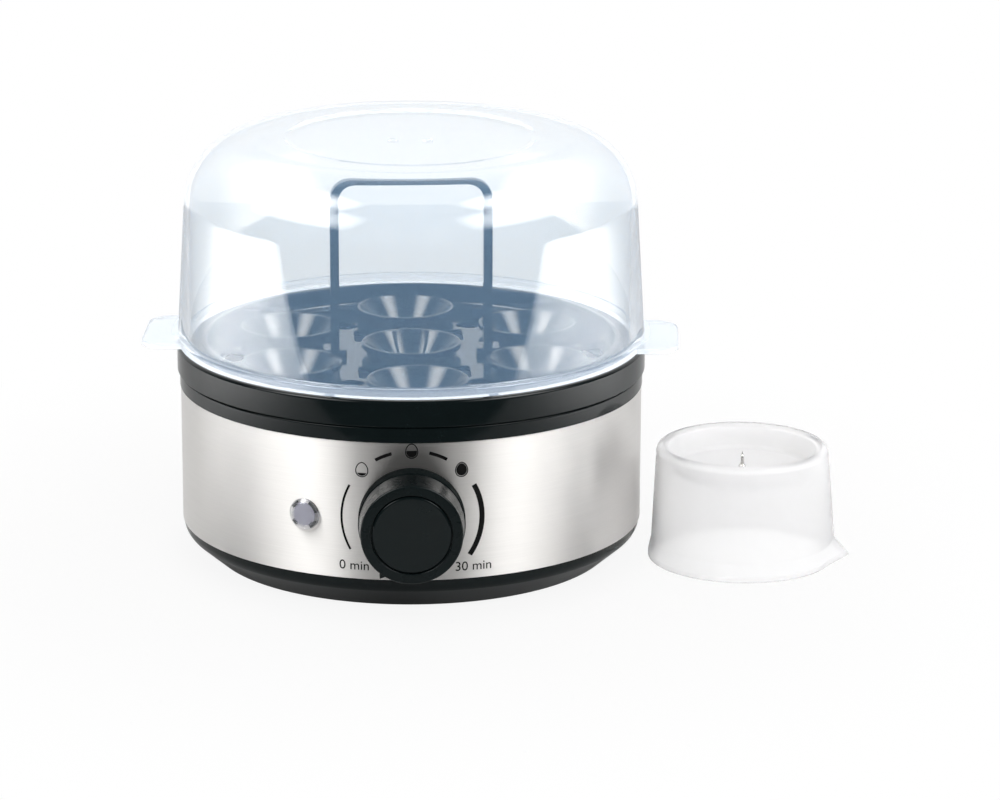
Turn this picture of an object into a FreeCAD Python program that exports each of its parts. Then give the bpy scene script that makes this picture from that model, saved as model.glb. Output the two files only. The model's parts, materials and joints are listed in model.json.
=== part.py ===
import FreeCAD
import Part
import Sketcher
import math
import os
import re

# A steam egg cooker for seven eggs, with its tray, clear lid, timer and measuring cup.
# Millimetres. The origin is on the table, on the cooker's axis. +Z is up and the knob faces -Y.

SIZES = {
    # Levels above the table
    "foot_height": 2.0,
    "skirt_top": 15.5,
    "steel_top": 68.5,
    "seam_height": 74.3,
    "shelf_height": 84.6,
    "lid_top": 165.0,
    # Body of the cooker
    "body_radius": 89.0,
    "steel_wall": 0.6,
    "shell_wall": 2.2,
    "slip_gap": 0.1,
    "seat_gap": 0.4,
    "skirt_foot_radius": 77.0,
    "skirt_crease": 11.6,
    "skirt_crease_radius": 88.2,
    "tongue_height": 6.5,
    "collar_radius": 89.3,
    "collar_mouth_radius": 79.5,
    "ledge_radius": 72.0,
    "ledge_height": 66.8,
    "edge_round": 0.8,
    "post_circle": 74.0,
    "post_radius": 4.2,
    "screw_radius": 1.5,
    "screw_head_radius": 3.3,
    "screw_head_height": 2.8,
    "screw_seat": 8.0,
    "screw_top": 34.0,
    "foot_circle": 60.0,
    "foot_radius": 6.2,
    "foot_stem_radius": 1.9,
    "vent_inner": 34.0,
    "vent_outer": 52.0,
    "vent_half_width": 1.6,
    # Water dish and what hangs under it
    "dish_floor": 60.0,
    "dish_floor_radius": 60.0,
    "dish_wall": 0.8,
    "dish_rim": 69.4,
    "dish_rim_inner": 70.0,
    "dish_rim_outer": 79.0,
    "element_circle": 46.0,
    "element_radius": 3.3,
    "pin_radius": 1.5,
    "pin_length": 10.0,
    "stud_circle": 30.0,
    "stud_radius": 2.0,
    "stud_end": 45.0,
    "bracket_level": 50.0,
    "bracket_sheet": 1.5,
    "bracket_hub_radius": 36.0,
    "bracket_arm_half_width": 6.0,
    "bracket_reach": 76.0,
    "nut_across": 4.1,
    "nut_height": 3.2,
    "thermostat_radius": 8.0,
    "thermostat_foot": 40.0,
    "fuse_radius": 2.0,
    "fuse_length": 12.0,
    # Egg tray
    "tray_turn": 2.5,
    "tray_skirt_radius": 90.2,
    "tray_lip_radius": 80.5,
    "tray_lip_top": 86.5,
    "tray_wall": 2.0,
    "plate_height": 78.6,
    "guide_bottom": 72.0,
    "cup_circle": 54.0,
    "cup_rim": 83.6,
    "cup_rim_radius": 19.2,
    "cup_mouth_radius": 18.2,
    "cup_bottom": 72.0,
    "cup_hole_radius": 8.0,
    "gap_pocket_circle": 31.2,
    "gap_pocket_reach": 11.5,
    "gap_pocket_round": 2.0,
    "oval_circle": 49.5,
    "oval_half_length": 3.5,
    "oval_half_width": 3.2,
    "oval_side_curve": 8.0,
    "oval_end_curve": 3.3,
    "rim_hole_inner": 59.0,
    "rim_hole_inner_half": 2.5,
    "rim_hole_inner_curve": 2.6,
    "rim_hole_corner": 71.0,
    "rim_hole_corner_half": 12.0,
    "rim_hole_corner_curve": 3.4,
    "rim_hole_outer": 73.5,
    "rim_hole_outer_half": 9.0,
    "rim_hole_outer_curve": 74.0,
    # Carrying handle of the tray
    "handle_post_x": 29.5,
    "handle_top": 149.0,
    "handle_strip": 3.4,
    "handle_bar": 2.4,
    "handle_depth": 6.6,
    "handle_bend": 9.0,
    "socket_height": 3.0,
    # Lid
    "lid_turn": -2.8,
    "lid_flange_radius": 89.7,
    "lid_flange_height": 3.8,
    "lid_wall": 2.0,
    "lid_foot_radius": 87.2,
    "lid_shoulder_radius": 86.6,
    "lid_shoulder_curve": 26.0,
    "lid_step_radius": 47.0,
    "lid_step": 1.1,
    "vent_radius": 2.0,
    "vent_x": 6.6,
    "vent_y": -4.0,
    "tab_reach": 103.0,
    "tab_half_width": 22.0,
    "tab_round": 9.5,
    "tab_height": 2.2,
    "web_top": 99.0,
    "web_half_angle": 13.0,
    "web_curve": 20.0,
    # Timer and knob
    "dial_height": 39.5,
    "knob_back": 0.6,
    "knob_front": 20.6,
    "knob_back_radius": 19.8,
    "knob_front_radius": 18.8,
    "knob_wall": 2.0,
    "knob_cap_radius": 14.6,
    "knob_cap_recess": 1.6,
    "knob_hub_radius": 6.0,
    "pointer_turn": 235.0,
    "pointer_reach": 20.6,
    "spindle_radius": 3.0,
    "bush_radius": 4.8,
    "timer_half_width": 19.0,
    "carrier_half_height": 15.0,
    "timer_front": 80.2,
    "timer_back": 57.0,
    "timer_corner": 5.0,
    "timer_screw_x": 11.0,
    "bell_radius": 14.0,
    "bell_depth": 9.0,
    "bell_wall": 1.2,
    "bell_chamfer": 5.0,
    # Pilot lamp
    "lamp_height": 38.7,
    "lamp_turn": 26.4,
    "lens_radius": 6.0,
    "lens_barrel_radius": 4.4,
    # Cord bushing at the back
    "gland_height": 31.0,
    "gland_bore_radius": 3.6,
    "gland_neck_radius": 5.4,
    # Wiring
    "block_y": 54.0,
    "block_length": 26.0,
    "block_depth": 12.0,
    "block_height": 11.0,
    "lead_radius": 1.1,
    "lead_bend": 8.0,
    "lead_side": 26.0,
    "lead_front": 30.0,
    # Measuring cup
    "measure_x": 128.0,
    "measure_y": -11.0,
    "measure_height": 45.0,
    "measure_wall": 1.8,
    "measure_mouth_radius": 36.0,
    "measure_top_radius": 33.2,
    "measure_floor": 35.5,
    "measure_recess_radius": 27.0,
    "measure_lip_reach": 42.5,
    "measure_lip_height": 15.0,
    "measure_lip_half_width": 13.0,
    "measure_lip_top_half": 2.0,
    "measure_lip_tip_half": 0.4,
    "needle_top": 42.2,
    "needle_radius": 0.7,
}

doc = FreeCAD.newDocument("egg_cooker")
sheet = doc.addObject("Spreadsheet::Sheet", "Sizes")
for row, (alias, value) in enumerate(SIZES.items(), start=1):
    sheet.set(f"A{row}", alias)
    sheet.set(f"B{row}", str(value))
    sheet.setAlias(f"B{row}", alias)
doc.recompute()

FRONT_FACING = FreeCAD.Rotation(FreeCAD.Vector(1, 0, 0), 90)
REAR_FACING = FreeCAD.Rotation(FreeCAD.Vector(1, 0, 0), -90)
UPWARD = FreeCAD.Vector(0, 0, 1)
nodes = []


def bound(text):
    """Name the sheet before each of its aliases in an expression."""
    def with_sheet(word):
        return "Sizes." + word.group() if word.group() in SIZES else word.group()
    return re.sub(r"[a-z_]+", with_sheet, str(text))


def number(text):
    """Work an expression out from the sheet."""
    return float(sheet.evalExpression(bound(text)))


def bind(thing, prop, text):
    """Tie one property of an object to the sheet."""
    thing.setExpression(prop, bound(text))


def turned(corners, degrees):
    """Turn an outline's corners about the sketch's origin."""
    across = round(math.cos(math.radians(degrees)), 6)
    along = round(math.sin(math.radians(degrees)), 6)
    out = []
    for x, y, *curve in corners:
        out.append((f"({x}) * {across} - ({y}) * {along}", f"({x}) * {along} + ({y}) * {across}", *curve))
    return out


def mirrored(corners):
    """Complete an outline that is given for y above zero, mirrored in the x axis."""
    below = [(x, f"-({y})") for x, y in reversed(corners)]
    return corners + below


def new_body(name):
    body = doc.addObject("PartDesign::Body", name)
    body.Label = name
    nodes.append(body)
    return body


def sketch_in(body, role, lift="0", turn=0.0, axis=UPWARD):
    """An empty sketch on one of the body's own planes, lifted along its normal and turned."""
    plane = next(item for item in body.Origin.OriginFeatures if item.Role == role)
    sketch = body.newObject("Sketcher::SketchObject", body.Name + "_sketch")
    sketch.AttachmentSupport = (plane, [""])
    sketch.MapMode = "FlatFace"
    sketch.AttachmentOffset = FreeCAD.Placement(FreeCAD.Vector(), FreeCAD.Rotation(axis, turn))
    bind(sketch, "AttachmentOffset.Base.z", lift)
    return sketch


def arc_between(start, end, radius):
    """The short arc from start to end; a positive radius turns left on the way, a negative one right."""
    chord = end - start
    side = FreeCAD.Vector(-chord.y, chord.x, 0).normalize()
    rise = math.sqrt(max(radius * radius - chord.Length ** 2 / 4, 0.0))
    centre = (start + end) * 0.5 + side * math.copysign(rise, radius)
    first, last = (start, end) if radius > 0 else (end, start)
    angles = [math.atan2(point.y - centre.y, point.x - centre.x) for point in (first, last)]
    return Part.ArcOfCircle(Part.Circle(centre, UPWARD, abs(radius)), *angles)


def point_ties(place, x, y):
    """Constraints that tie a point of a sketch to its two coordinates, each with its expression."""
    ties = []
    for kind, text, other_axis in (("DistanceX", x, -2), ("DistanceY", y, -1)):
        distance = number(text)
        if abs(distance) < 1e-9:
            ties.append((Sketcher.Constraint("PointOnObject", *place, other_axis), None))
        else:
            ties.append((Sketcher.Constraint(kind, -1, 1, *place, distance), text))
    return ties


def radius_tie(geometry, text):
    return Sketcher.Constraint("Radius", geometry, abs(number(text))), f"abs({text})"


def add_ties(sketch, ties):
    """Add constraints in one go, then bind those that have an expression."""
    first = sketch.ConstraintCount
    sketch.addConstraint([constraint for constraint, text in ties])
    for index, (constraint, text) in enumerate(ties, start=first):
        if text:
            bind(sketch, f"Constraints[{index}]", text)


def draw(sketch, corners):
    """A closed outline. A corner with a third entry starts an arc of that radius."""
    points = [FreeCAD.Vector(number(x), number(y), 0) for x, y, *curve in corners]
    ends = []
    for index, (x, y, *curve) in enumerate(corners):
        start, end = points[index], points[(index + 1) % len(points)]
        radius = number(curve[0]) if curve else 0.0
        edge = arc_between(start, end, radius) if curve else Part.LineSegment(start, end)
        geometry = sketch.addGeometry(edge, False)
        ends.append(((geometry, 1), (geometry, 2)) if radius >= 0 else ((geometry, 2), (geometry, 1)))
    ties = []
    for index, (x, y, *curve) in enumerate(corners):
        ties.append((Sketcher.Constraint("Coincident", *ends[index - 1][1], *ends[index][0]), None))
        ties += point_ties(ends[index][0], x, y)
        if curve:
            ties.append(radius_tie(ends[index][0][0], curve[0]))
    add_ties(sketch, ties)


def draw_circle(sketch, x, y, radius):
    centre = FreeCAD.Vector(number(x), number(y), 0)
    geometry = sketch.addGeometry(Part.Circle(centre, UPWARD, number(radius)), False)
    add_ties(sketch, [radius_tie(geometry, radius)] + point_ties((geometry, 3), x, y))


def turn_profile(body, corners, kind="Revolution", role="XZ_Plane", angle=360.0):
    """Turn an outline about the sketch's upright axis."""
    sketch = sketch_in(body, role)
    draw(sketch, corners)
    feature = body.newObject("PartDesign::" + kind, body.Name + "_" + kind.lower())
    feature.Profile = sketch
    feature.ReferenceAxis = (sketch, ["V_Axis"])
    feature.Angle = angle
    feature.Midplane = angle < 360
    return feature


def extrude(body, sketch, length, kind="Pad", backwards=False, both_ways=False):
    feature = body.newObject("PartDesign::" + kind, body.Name + "_" + kind.lower())
    feature.Profile = sketch
    bind(feature, "Length", length)
    feature.Reversed = backwards
    if both_ways:
        feature.SideType = "Symmetric"
    return feature


def repeat_round(body, features, count):
    """Repeat features about the body's upright axis."""
    pattern = body.newObject("PartDesign::PolarPattern", body.Name + "_pattern")
    pattern.Originals = features
    axis = next(item for item in body.Origin.OriginFeatures if item.Role == "Z_Axis")
    pattern.Axis = (axis, [""])
    pattern.Angle = 360
    pattern.Occurrences = count
    body.Tip = pattern
    return pattern


def cylinder(name, radius, height, place=FreeCAD.Vector(), rotation=FreeCAD.Rotation()):
    shape = doc.addObject("Part::Cylinder", name)
    bind(shape, "Radius", radius)
    bind(shape, "Height", height)
    shape.Placement = FreeCAD.Placement(place, rotation)
    return shape


def box(name, sides, corner):
    shape = doc.addObject("Part::Box", name)
    for prop, text in zip(("Length", "Width", "Height"), sides):
        bind(shape, prop, text)
    place = FreeCAD.Vector(*(number(text) for text in corner))
    shape.Placement = FreeCAD.Placement(place, FreeCAD.Rotation())
    return shape


def boolean(kind, name, first, second):
    result = doc.addObject("Part::" + kind, name)
    result.Base = first
    result.Tool = second
    return result


def group(name, shapes):
    """Identical pieces that share one node, each a solid of its own."""
    gathered = doc.addObject("Part::Compound", name)
    gathered.Label = name
    gathered.Links = shapes
    nodes.append(gathered)
    return gathered


def as_node(shape, name):
    shape.Label = name
    nodes.append(shape)


def on_circle(circle, degrees, height="0"):
    radius = number(circle)
    angle = math.radians(degrees)
    return FreeCAD.Vector(radius * math.cos(angle), radius * math.sin(angle), number(height))


POST_ANGLES = (90, 210, 330)
ARM_ANGLES = (0, 120, 240)
FOOT_ANGLES = (45, 135, 225, 315)


def make_bottom_pan():
    """Tapered black skirt and floor, with a tongue inside the steel, bosses and vents."""
    body = new_body("bottom_pan")
    tongue = "body_radius - steel_wall - slip_gap"
    turn_profile(body, [
        ("0", "foot_height"),
        ("skirt_foot_radius", "foot_height"),
        ("skirt_crease_radius", "skirt_crease"),
        ("body_radius - slip_gap", "skirt_top"),
        (tongue, "skirt_top"),
        (tongue, "skirt_top + tongue_height"),
        (f"{tongue} - shell_wall", "skirt_top + tongue_height"),
        (f"{tongue} - shell_wall", "skirt_crease"),
        ("skirt_foot_radius - edge_round", "foot_height + shell_wall"),
        ("0", "foot_height + shell_wall"),
    ])
    bosses = sketch_in(body, "XY_Plane", "foot_height")
    for angle in POST_ANGLES:
        (x, y), = turned([("post_circle", "0")], angle)
        draw_circle(bosses, x, y, "post_radius")
    extrude(body, bosses, "skirt_top + tongue_height - foot_height")
    bores = sketch_in(body, "XY_Plane")
    seats = sketch_in(body, "XY_Plane")
    for angle in POST_ANGLES:
        (x, y), = turned([("post_circle", "0")], angle)
        draw_circle(bores, x, y, "screw_radius + slip_gap")
        draw_circle(seats, x, y, "screw_head_radius + slip_gap")
    for angle in FOOT_ANGLES:
        (x, y), = turned([("foot_circle", "0")], angle)
        draw_circle(bores, x, y, "foot_stem_radius + slip_gap")
    for angle in range(15, 375, 30):
        slot = mirrored([
            ("vent_outer", "vent_half_width"),
            ("vent_inner", "vent_half_width"),
        ])
        draw(bores, turned(slot, angle))
    extrude(body, bores, "steel_top", "Pocket", backwards=True)
    extrude(body, seats, "screw_seat", "Pocket", backwards=True)


def make_feet():
    """Four soft feet, each held by a stem in the pan's floor."""
    feet = []
    for angle in FOOT_ANGLES:
        pad = doc.addObject("Part::Cone", "foot_pad")
        bind(pad, "Radius1", "foot_radius - edge_round")
        bind(pad, "Radius2", "foot_radius")
        bind(pad, "Height", "foot_height")
        pad.Placement = FreeCAD.Placement(on_circle("foot_circle", angle), FreeCAD.Rotation())
        stem = cylinder("foot_stem", "foot_stem_radius", "foot_height * 3", on_circle("foot_circle", angle))
        feet.append(boolean("Fuse", "foot", pad, stem))
    group("rubber_feet", feet)


def make_screw(head_radius, head_height, shank_radius, shank_length, place, rotation=FreeCAD.Rotation()):
    """A plain screw that points along its own +Z from the underside of its head."""
    drop = rotation.multVec(FreeCAD.Vector(0, 0, -number(head_height)))
    head = cylinder("screw_head", head_radius, head_height, place + drop, rotation)
    shank = cylinder("screw_shank", shank_radius, shank_length, place, rotation)
    return boolean("Fuse", "screw", head, shank)


def make_pan_screws():
    """Screws from below that pull the pan up to the collar's posts, with the band between them."""
    screws = []
    for angle in POST_ANGLES:
        place = on_circle("post_circle", angle, "screw_seat")
        screws.append(make_screw("screw_head_radius", "screw_head_height", "screw_radius",
                                 "screw_top - screw_seat", place))
    group("pan_screws", screws)


def make_steel_band():
    """Rolled sleeve with holes for the spindle, the lamp, the timer screws and the cord bushing."""
    body = new_body("steel_band")
    turn_profile(body, [
        ("body_radius - steel_wall", "skirt_top"),
        ("body_radius", "skirt_top"),
        ("body_radius", "steel_top"),
        ("body_radius - steel_wall", "steel_top"),
    ])
    front = sketch_in(body, "XZ_Plane")
    draw_circle(front, "0", "dial_height", "bush_radius + slip_gap")
    for side in ("-timer_screw_x", "timer_screw_x"):
        draw_circle(front, side, "dial_height", "screw_radius + slip_gap")
    extrude(body, front, "body_radius * 2", "Pocket", backwards=True)
    lamp = sketch_in(body, "XZ_Plane", turn=-number("lamp_turn"), axis=FreeCAD.Vector(0, 1, 0))
    draw_circle(lamp, "0", "lamp_height", "lens_barrel_radius + slip_gap")
    extrude(body, lamp, "body_radius * 2", "Pocket", backwards=True)
    rear = sketch_in(body, "XZ_Plane")
    draw_circle(rear, "0", "gland_height", "gland_neck_radius + slip_gap")
    extrude(body, rear, "body_radius * 2", "Pocket")


def make_base_collar():
    """Black ring that closes the band, carries the tray on top and the dish on its inner ledge."""
    body = new_body("base_collar")
    tongue = "body_radius - steel_wall - slip_gap"
    turn_profile(body, [
        (f"{tongue} - shell_wall", "steel_top - tongue_height"),
        (tongue, "steel_top - tongue_height"),
        (tongue, "steel_top"),
        ("collar_radius", "steel_top"),
        ("collar_radius", "seam_height - edge_round", "edge_round"),
        ("collar_radius - edge_round", "seam_height"),
        ("collar_mouth_radius", "seam_height"),
        ("collar_mouth_radius", "ledge_height"),
        ("ledge_radius", "ledge_height"),
        ("ledge_radius", "ledge_height - shell_wall"),
        ("collar_mouth_radius + shell_wall", "ledge_height - shell_wall"),
        ("collar_mouth_radius + shell_wall", "seam_height - shell_wall"),
        (f"{tongue} - shell_wall", "seam_height - shell_wall"),
    ])
    post_foot = "skirt_top + tongue_height + slip_gap"
    posts = sketch_in(body, "XY_Plane", post_foot)
    bores = sketch_in(body, "XY_Plane", post_foot)
    for angle in POST_ANGLES:
        (x, y), = turned([("post_circle", "0")], angle)
        draw_circle(posts, x, y, "post_radius")
        draw_circle(bores, x, y, "screw_radius + slip_gap")
    extrude(body, posts, f"ledge_height - shell_wall / 2 - ({post_foot})")
    extrude(body, bores, f"screw_top + shell_wall - ({post_foot})", "Pocket", backwards=True)


def make_heating_plate():
    """Spun steel dish for the water, with three welded studs underneath."""
    body = new_body("heating_plate")
    turn_profile(body, [
        ("0", "dish_floor - dish_wall"),
        ("dish_floor_radius", "dish_floor - dish_wall"),
        ("dish_rim_inner", "dish_rim - dish_wall"),
        ("dish_rim_outer", "dish_rim - dish_wall"),
        ("dish_rim_outer", "dish_rim"),
        ("dish_rim_inner - dish_wall / 2", "dish_rim"),
        ("dish_floor_radius - dish_wall / 2", "dish_floor"),
        ("0", "dish_floor"),
    ])
    studs = sketch_in(body, "XY_Plane", "stud_end")
    for angle in ARM_ANGLES:
        (x, y), = turned([("stud_circle", "0")], angle)
        draw_circle(studs, x, y, "stud_radius")
    extrude(body, studs, "dish_floor - dish_wall / 2 - stud_end")


def make_gasket():
    body = new_body("plate_gasket")
    turn_profile(body, [
        ("ledge_radius + edge_round", "ledge_height"),
        ("dish_rim_outer", "ledge_height"),
        ("dish_rim_outer", "dish_rim - dish_wall"),
        ("ledge_radius + edge_round", "dish_rim - dish_wall"),
    ])


def make_element():
    """Open ring of tubular heater pressed to the dish, with a cold pin on each end."""
    opening = 60.0
    ring = doc.addObject("Part::Torus", "heating_element")
    bind(ring, "Radius1", "element_circle")
    bind(ring, "Radius2", "element_radius")
    ring.Angle3 = 360.0 - opening
    level = FreeCAD.Vector(0, 0, number("dish_floor - dish_wall - element_radius - slip_gap"))
    ring.Placement = FreeCAD.Placement(level, FreeCAD.Rotation(UPWARD, 90 + opening / 2))
    as_node(ring, "heating_element")
    pins = []
    tips = []
    for side in (-1, 1):
        radial = on_circle("element_circle", 90 + side * opening / 2)
        heading = (UPWARD.cross(radial) * -side).normalize()
        start = radial + level
        rotation = FreeCAD.Rotation(UPWARD, heading)
        pins.append(cylinder("element_pin", "pin_radius", "pin_length", start, rotation))
        tips.append((start + heading * number("pin_length"), heading))
    group("element_pins", pins)
    return tips


def make_clamp():
    """Three-armed sheet bracket whose turned-up ends press on the ledge, drawn up by nuts."""
    body = new_body("clamp_bracket")
    hub = sketch_in(body, "XY_Plane", "bracket_level")
    draw_circle(hub, "0", "0", "bracket_hub_radius")
    extrude(body, hub, "bracket_sheet")
    arms = sketch_in(body, "XY_Plane", "bracket_level")
    draw(arms, mirrored([
        ("bracket_reach", "bracket_arm_half_width"),
        ("bracket_hub_radius - bracket_arm_half_width", "bracket_arm_half_width"),
    ]))
    arm = extrude(body, arms, "bracket_sheet")
    ends = sketch_in(body, "XY_Plane", "bracket_level")
    draw(ends, mirrored([
        ("bracket_reach", "bracket_arm_half_width"),
        ("bracket_reach - bracket_sheet", "bracket_arm_half_width"),
    ]))
    end = extrude(body, ends, "ledge_height - shell_wall - slip_gap - bracket_level")
    repeat_round(body, [arm, end], len(ARM_ANGLES))
    holes = sketch_in(body, "XY_Plane", "bracket_level")
    draw_circle(holes, "0", "0", "thermostat_radius + edge_round")
    for angle in ARM_ANGLES:
        (x, y), = turned([("stud_circle", "0")], angle)
        draw_circle(holes, x, y, "stud_radius + slip_gap")
    extrude(body, holes, "bracket_sheet", "Pocket", backwards=True)
    nuts = []
    for angle in ARM_ANGLES:
        place = on_circle("stud_circle", angle, "bracket_level - nut_height - slip_gap")
        blank = doc.addObject("Part::Prism", "nut_blank")
        blank.Polygon = 6
        bind(blank, "Circumradius", "nut_across")
        bind(blank, "Height", "nut_height")
        blank.Placement = FreeCAD.Placement(place, FreeCAD.Rotation())
        hole = cylinder("nut_hole", "stud_radius + slip_gap", "nut_height", place)
        nuts.append(boolean("Cut", "nut", blank, hole))
    group("clamp_nuts", nuts)


def make_thermostat():
    """Bimetal cut-out with its cap against the dish and its flange under the bracket."""
    body = new_body("thermostat")
    turn_profile(body, [
        ("0", "thermostat_foot"),
        ("thermostat_radius", "thermostat_foot"),
        ("thermostat_radius", "bracket_level - bracket_sheet"),
        ("thermostat_radius * 1.7", "bracket_level - bracket_sheet"),
        ("thermostat_radius * 1.7", "bracket_level - slip_gap"),
        ("thermostat_radius", "bracket_level - slip_gap"),
        ("thermostat_radius", "dish_floor - dish_wall - slip_gap - edge_round"),
        ("thermostat_radius - edge_round", "dish_floor - dish_wall - slip_gap"),
        ("0", "dish_floor - dish_wall - slip_gap"),
    ])
    tab_half_length = "thermostat_radius / 4"
    tabs = sketch_in(body, "XY_Plane", "thermostat_foot")
    for side in (-1, 1):
        middle = f"{side} * thermostat_radius / 2"
        draw(tabs, [
            (f"{middle} - edge_round / 2", f"-{tab_half_length}"),
            (f"{middle} + edge_round / 2", f"-{tab_half_length}"),
            (f"{middle} + edge_round / 2", tab_half_length),
            (f"{middle} - edge_round / 2", tab_half_length),
        ])
    extrude(body, tabs, "thermostat_radius", backwards=True)


def make_fuse():
    """One-shot thermal fuse lying under the dish, between the hub and the element."""
    level = number("dish_floor - dish_wall - fuse_radius - slip_gap")
    along_x = FreeCAD.Rotation(FreeCAD.Vector(0, 1, 0), 90)
    half = FreeCAD.Vector(number("fuse_length / 2"), 0, 0)
    middle = FreeCAD.Vector(0, -number("stud_circle"), level)
    can = cylinder("fuse_can", "fuse_radius", "fuse_length", middle - half, along_x)
    lead = cylinder("fuse_lead", "fuse_radius / 4", "fuse_length * 2", middle - half * 2, along_x)
    as_node(boolean("Fuse", "thermal_fuse", can, lead), "thermal_fuse")


def make_timer():
    """Clockwork timer: carrier, case with bush, gong, spindle and two screws under the knob."""
    sides = ("timer_half_width * 2 + timer_corner", "timer_corner * 2", "carrier_half_height * 2")
    corner = ("-timer_half_width - timer_corner / 2", "-timer_front - timer_corner * 2 - slip_gap",
              "dial_height - carrier_half_height")
    block = box("carrier_block", sides, corner)
    inside = cylinder("band_inside", "body_radius - steel_wall - slip_gap", "steel_top")
    curved = boolean("Common", "carrier_curved", block, inside)
    front = FreeCAD.Vector(0, -number("timer_front") + 1, number("dial_height"))
    hole = cylinder("carrier_hole", "bush_radius + slip_gap", "timer_corner * 3", front, FRONT_FACING)
    pierced = boolean("Cut", "carrier_pierced", curved, hole)
    for side in (-1, 1):
        place = front + FreeCAD.Vector(side * number("timer_screw_x"), 0, 0)
        drill = cylinder("carrier_drill", "screw_radius", "timer_corner * 3", place, FRONT_FACING)
        pierced = boolean("Cut", "carrier_drilled", pierced, drill)
    as_node(pierced, "timer_bracket")

    case = new_body("timer_case")
    plan = sketch_in(case, "XZ_Plane", "timer_back")
    half = "timer_half_width"
    straight = "(timer_half_width - timer_corner)"
    draw(plan, [
        (f"-{straight}", f"dial_height - {half}"),
        (straight, f"dial_height - {half}", "timer_corner"),
        (half, f"dial_height - {straight}"),
        (half, f"dial_height + {straight}", "timer_corner"),
        (straight, f"dial_height + {half}"),
        (f"-{straight}", f"dial_height + {half}", "timer_corner"),
        (f"-{half}", f"dial_height + {straight}"),
        (f"-{half}", f"dial_height - {straight}", "timer_corner"),
    ])
    extrude(case, plan, "timer_front - timer_back")
    bush = sketch_in(case, "XZ_Plane", "timer_front")
    draw_circle(bush, "0", "dial_height", "bush_radius")
    extrude(case, bush, "body_radius - timer_front")
    bore = sketch_in(case, "XZ_Plane", "timer_back + timer_corner")
    draw_circle(bore, "0", "dial_height", "spindle_radius + seat_gap")
    extrude(case, bore, "body_radius", "Pocket", backwards=True)
    post = sketch_in(case, "XZ_Plane", "timer_back - bell_depth")
    draw_circle(post, "0", "dial_height", "spindle_radius")
    extrude(case, post, "bell_depth + bell_wall")

    bell = new_body("timer_bell")
    turn_profile(bell, [
        ("spindle_radius + slip_gap", "slip_gap"),
        ("bell_radius - bell_chamfer", "slip_gap"),
        ("bell_radius", "slip_gap + bell_chamfer"),
        ("bell_radius", "bell_depth"),
        ("bell_radius - bell_wall", "bell_depth"),
        ("bell_radius - bell_wall", "slip_gap + bell_chamfer"),
        ("bell_radius - bell_chamfer", "slip_gap + bell_wall"),
        ("spindle_radius + slip_gap", "slip_gap + bell_wall"),
    ])
    bell_place = FreeCAD.Vector(0, number("bell_depth + slip_gap - timer_back"), number("dial_height"))
    bell.Placement = FreeCAD.Placement(bell_place, FRONT_FACING)

    start = FreeCAD.Vector(0, -number("timer_back + timer_corner + seat_gap"), number("dial_height"))
    shaft_end = "body_radius + knob_front - knob_cap_recess - knob_wall * 2 - seat_gap"
    shaft_length = f"{shaft_end} - timer_back - timer_corner - seat_gap"
    shaft = cylinder("spindle_shaft", "spindle_radius", shaft_length, start, FRONT_FACING)
    flat = box("spindle_flat", ("spindle_radius * 2", "knob_front", "spindle_radius"),
               ("-spindle_radius", "-body_radius - knob_front", "dial_height + spindle_radius * 0.6"))
    as_node(boolean("Cut", "timer_spindle", shaft, flat), "timer_spindle")

    screws = []
    for side in (-1, 1):
        place = FreeCAD.Vector(side * number("timer_screw_x"), number("slip_gap - body_radius"),
                               number("dial_height"))
        screws.append(make_screw("screw_radius * 1.8", "edge_round * 1.8", "screw_radius - slip_gap",
                                 "body_radius - timer_front - edge_round", place, REAR_FACING))
    group("timer_screws", screws)


def make_knob():
    """Hollow turned knob with a hub, a recessed front for its cap and a pointer on the rim."""
    face_outward = FreeCAD.Placement(
        FreeCAD.Vector(0, -number("body_radius"), number("dial_height")), FRONT_FACING)
    knob = new_body("knob")
    recess = "knob_front - knob_cap_recess"
    turn_profile(knob, [
        ("knob_back_radius - knob_wall", "knob_back"),
        ("knob_back_radius", "knob_back"),
        ("knob_front_radius", "knob_front - edge_round", "edge_round"),
        ("knob_front_radius - edge_round", "knob_front"),
        ("knob_cap_radius + seat_gap", "knob_front"),
        ("knob_cap_radius + seat_gap", recess),
        ("0", recess),
        ("0", f"{recess} - knob_wall * 2"),
        ("spindle_radius + slip_gap", f"{recess} - knob_wall * 2"),
        ("spindle_radius + slip_gap", "knob_wall"),
        ("knob_hub_radius", "knob_wall"),
        ("knob_hub_radius", f"{recess} - knob_wall"),
        ("knob_front_radius - knob_wall", f"{recess} - knob_wall"),
    ])
    pointer = sketch_in(knob, "XY_Plane", "knob_front * 0.7")
    draw(pointer, turned([
        ("knob_front_radius - knob_wall / 2", "-knob_wall"),
        ("pointer_reach", "0"),
        ("knob_front_radius - knob_wall / 2", "knob_wall"),
    ], number("pointer_turn")))
    extrude(knob, pointer, "knob_front * 0.3 - edge_round")
    knob.Placement = face_outward

    cap = new_body("knob_cap")
    turn_profile(cap, [
        ("0", f"{recess} + slip_gap"),
        ("knob_cap_radius", f"{recess} + slip_gap"),
        ("knob_cap_radius", "knob_front - seat_gap - slip_gap", "seat_gap"),
        ("knob_cap_radius - seat_gap", "knob_front - slip_gap"),
        ("0", "knob_front - slip_gap"),
    ])
    cap.Placement = face_outward


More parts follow.
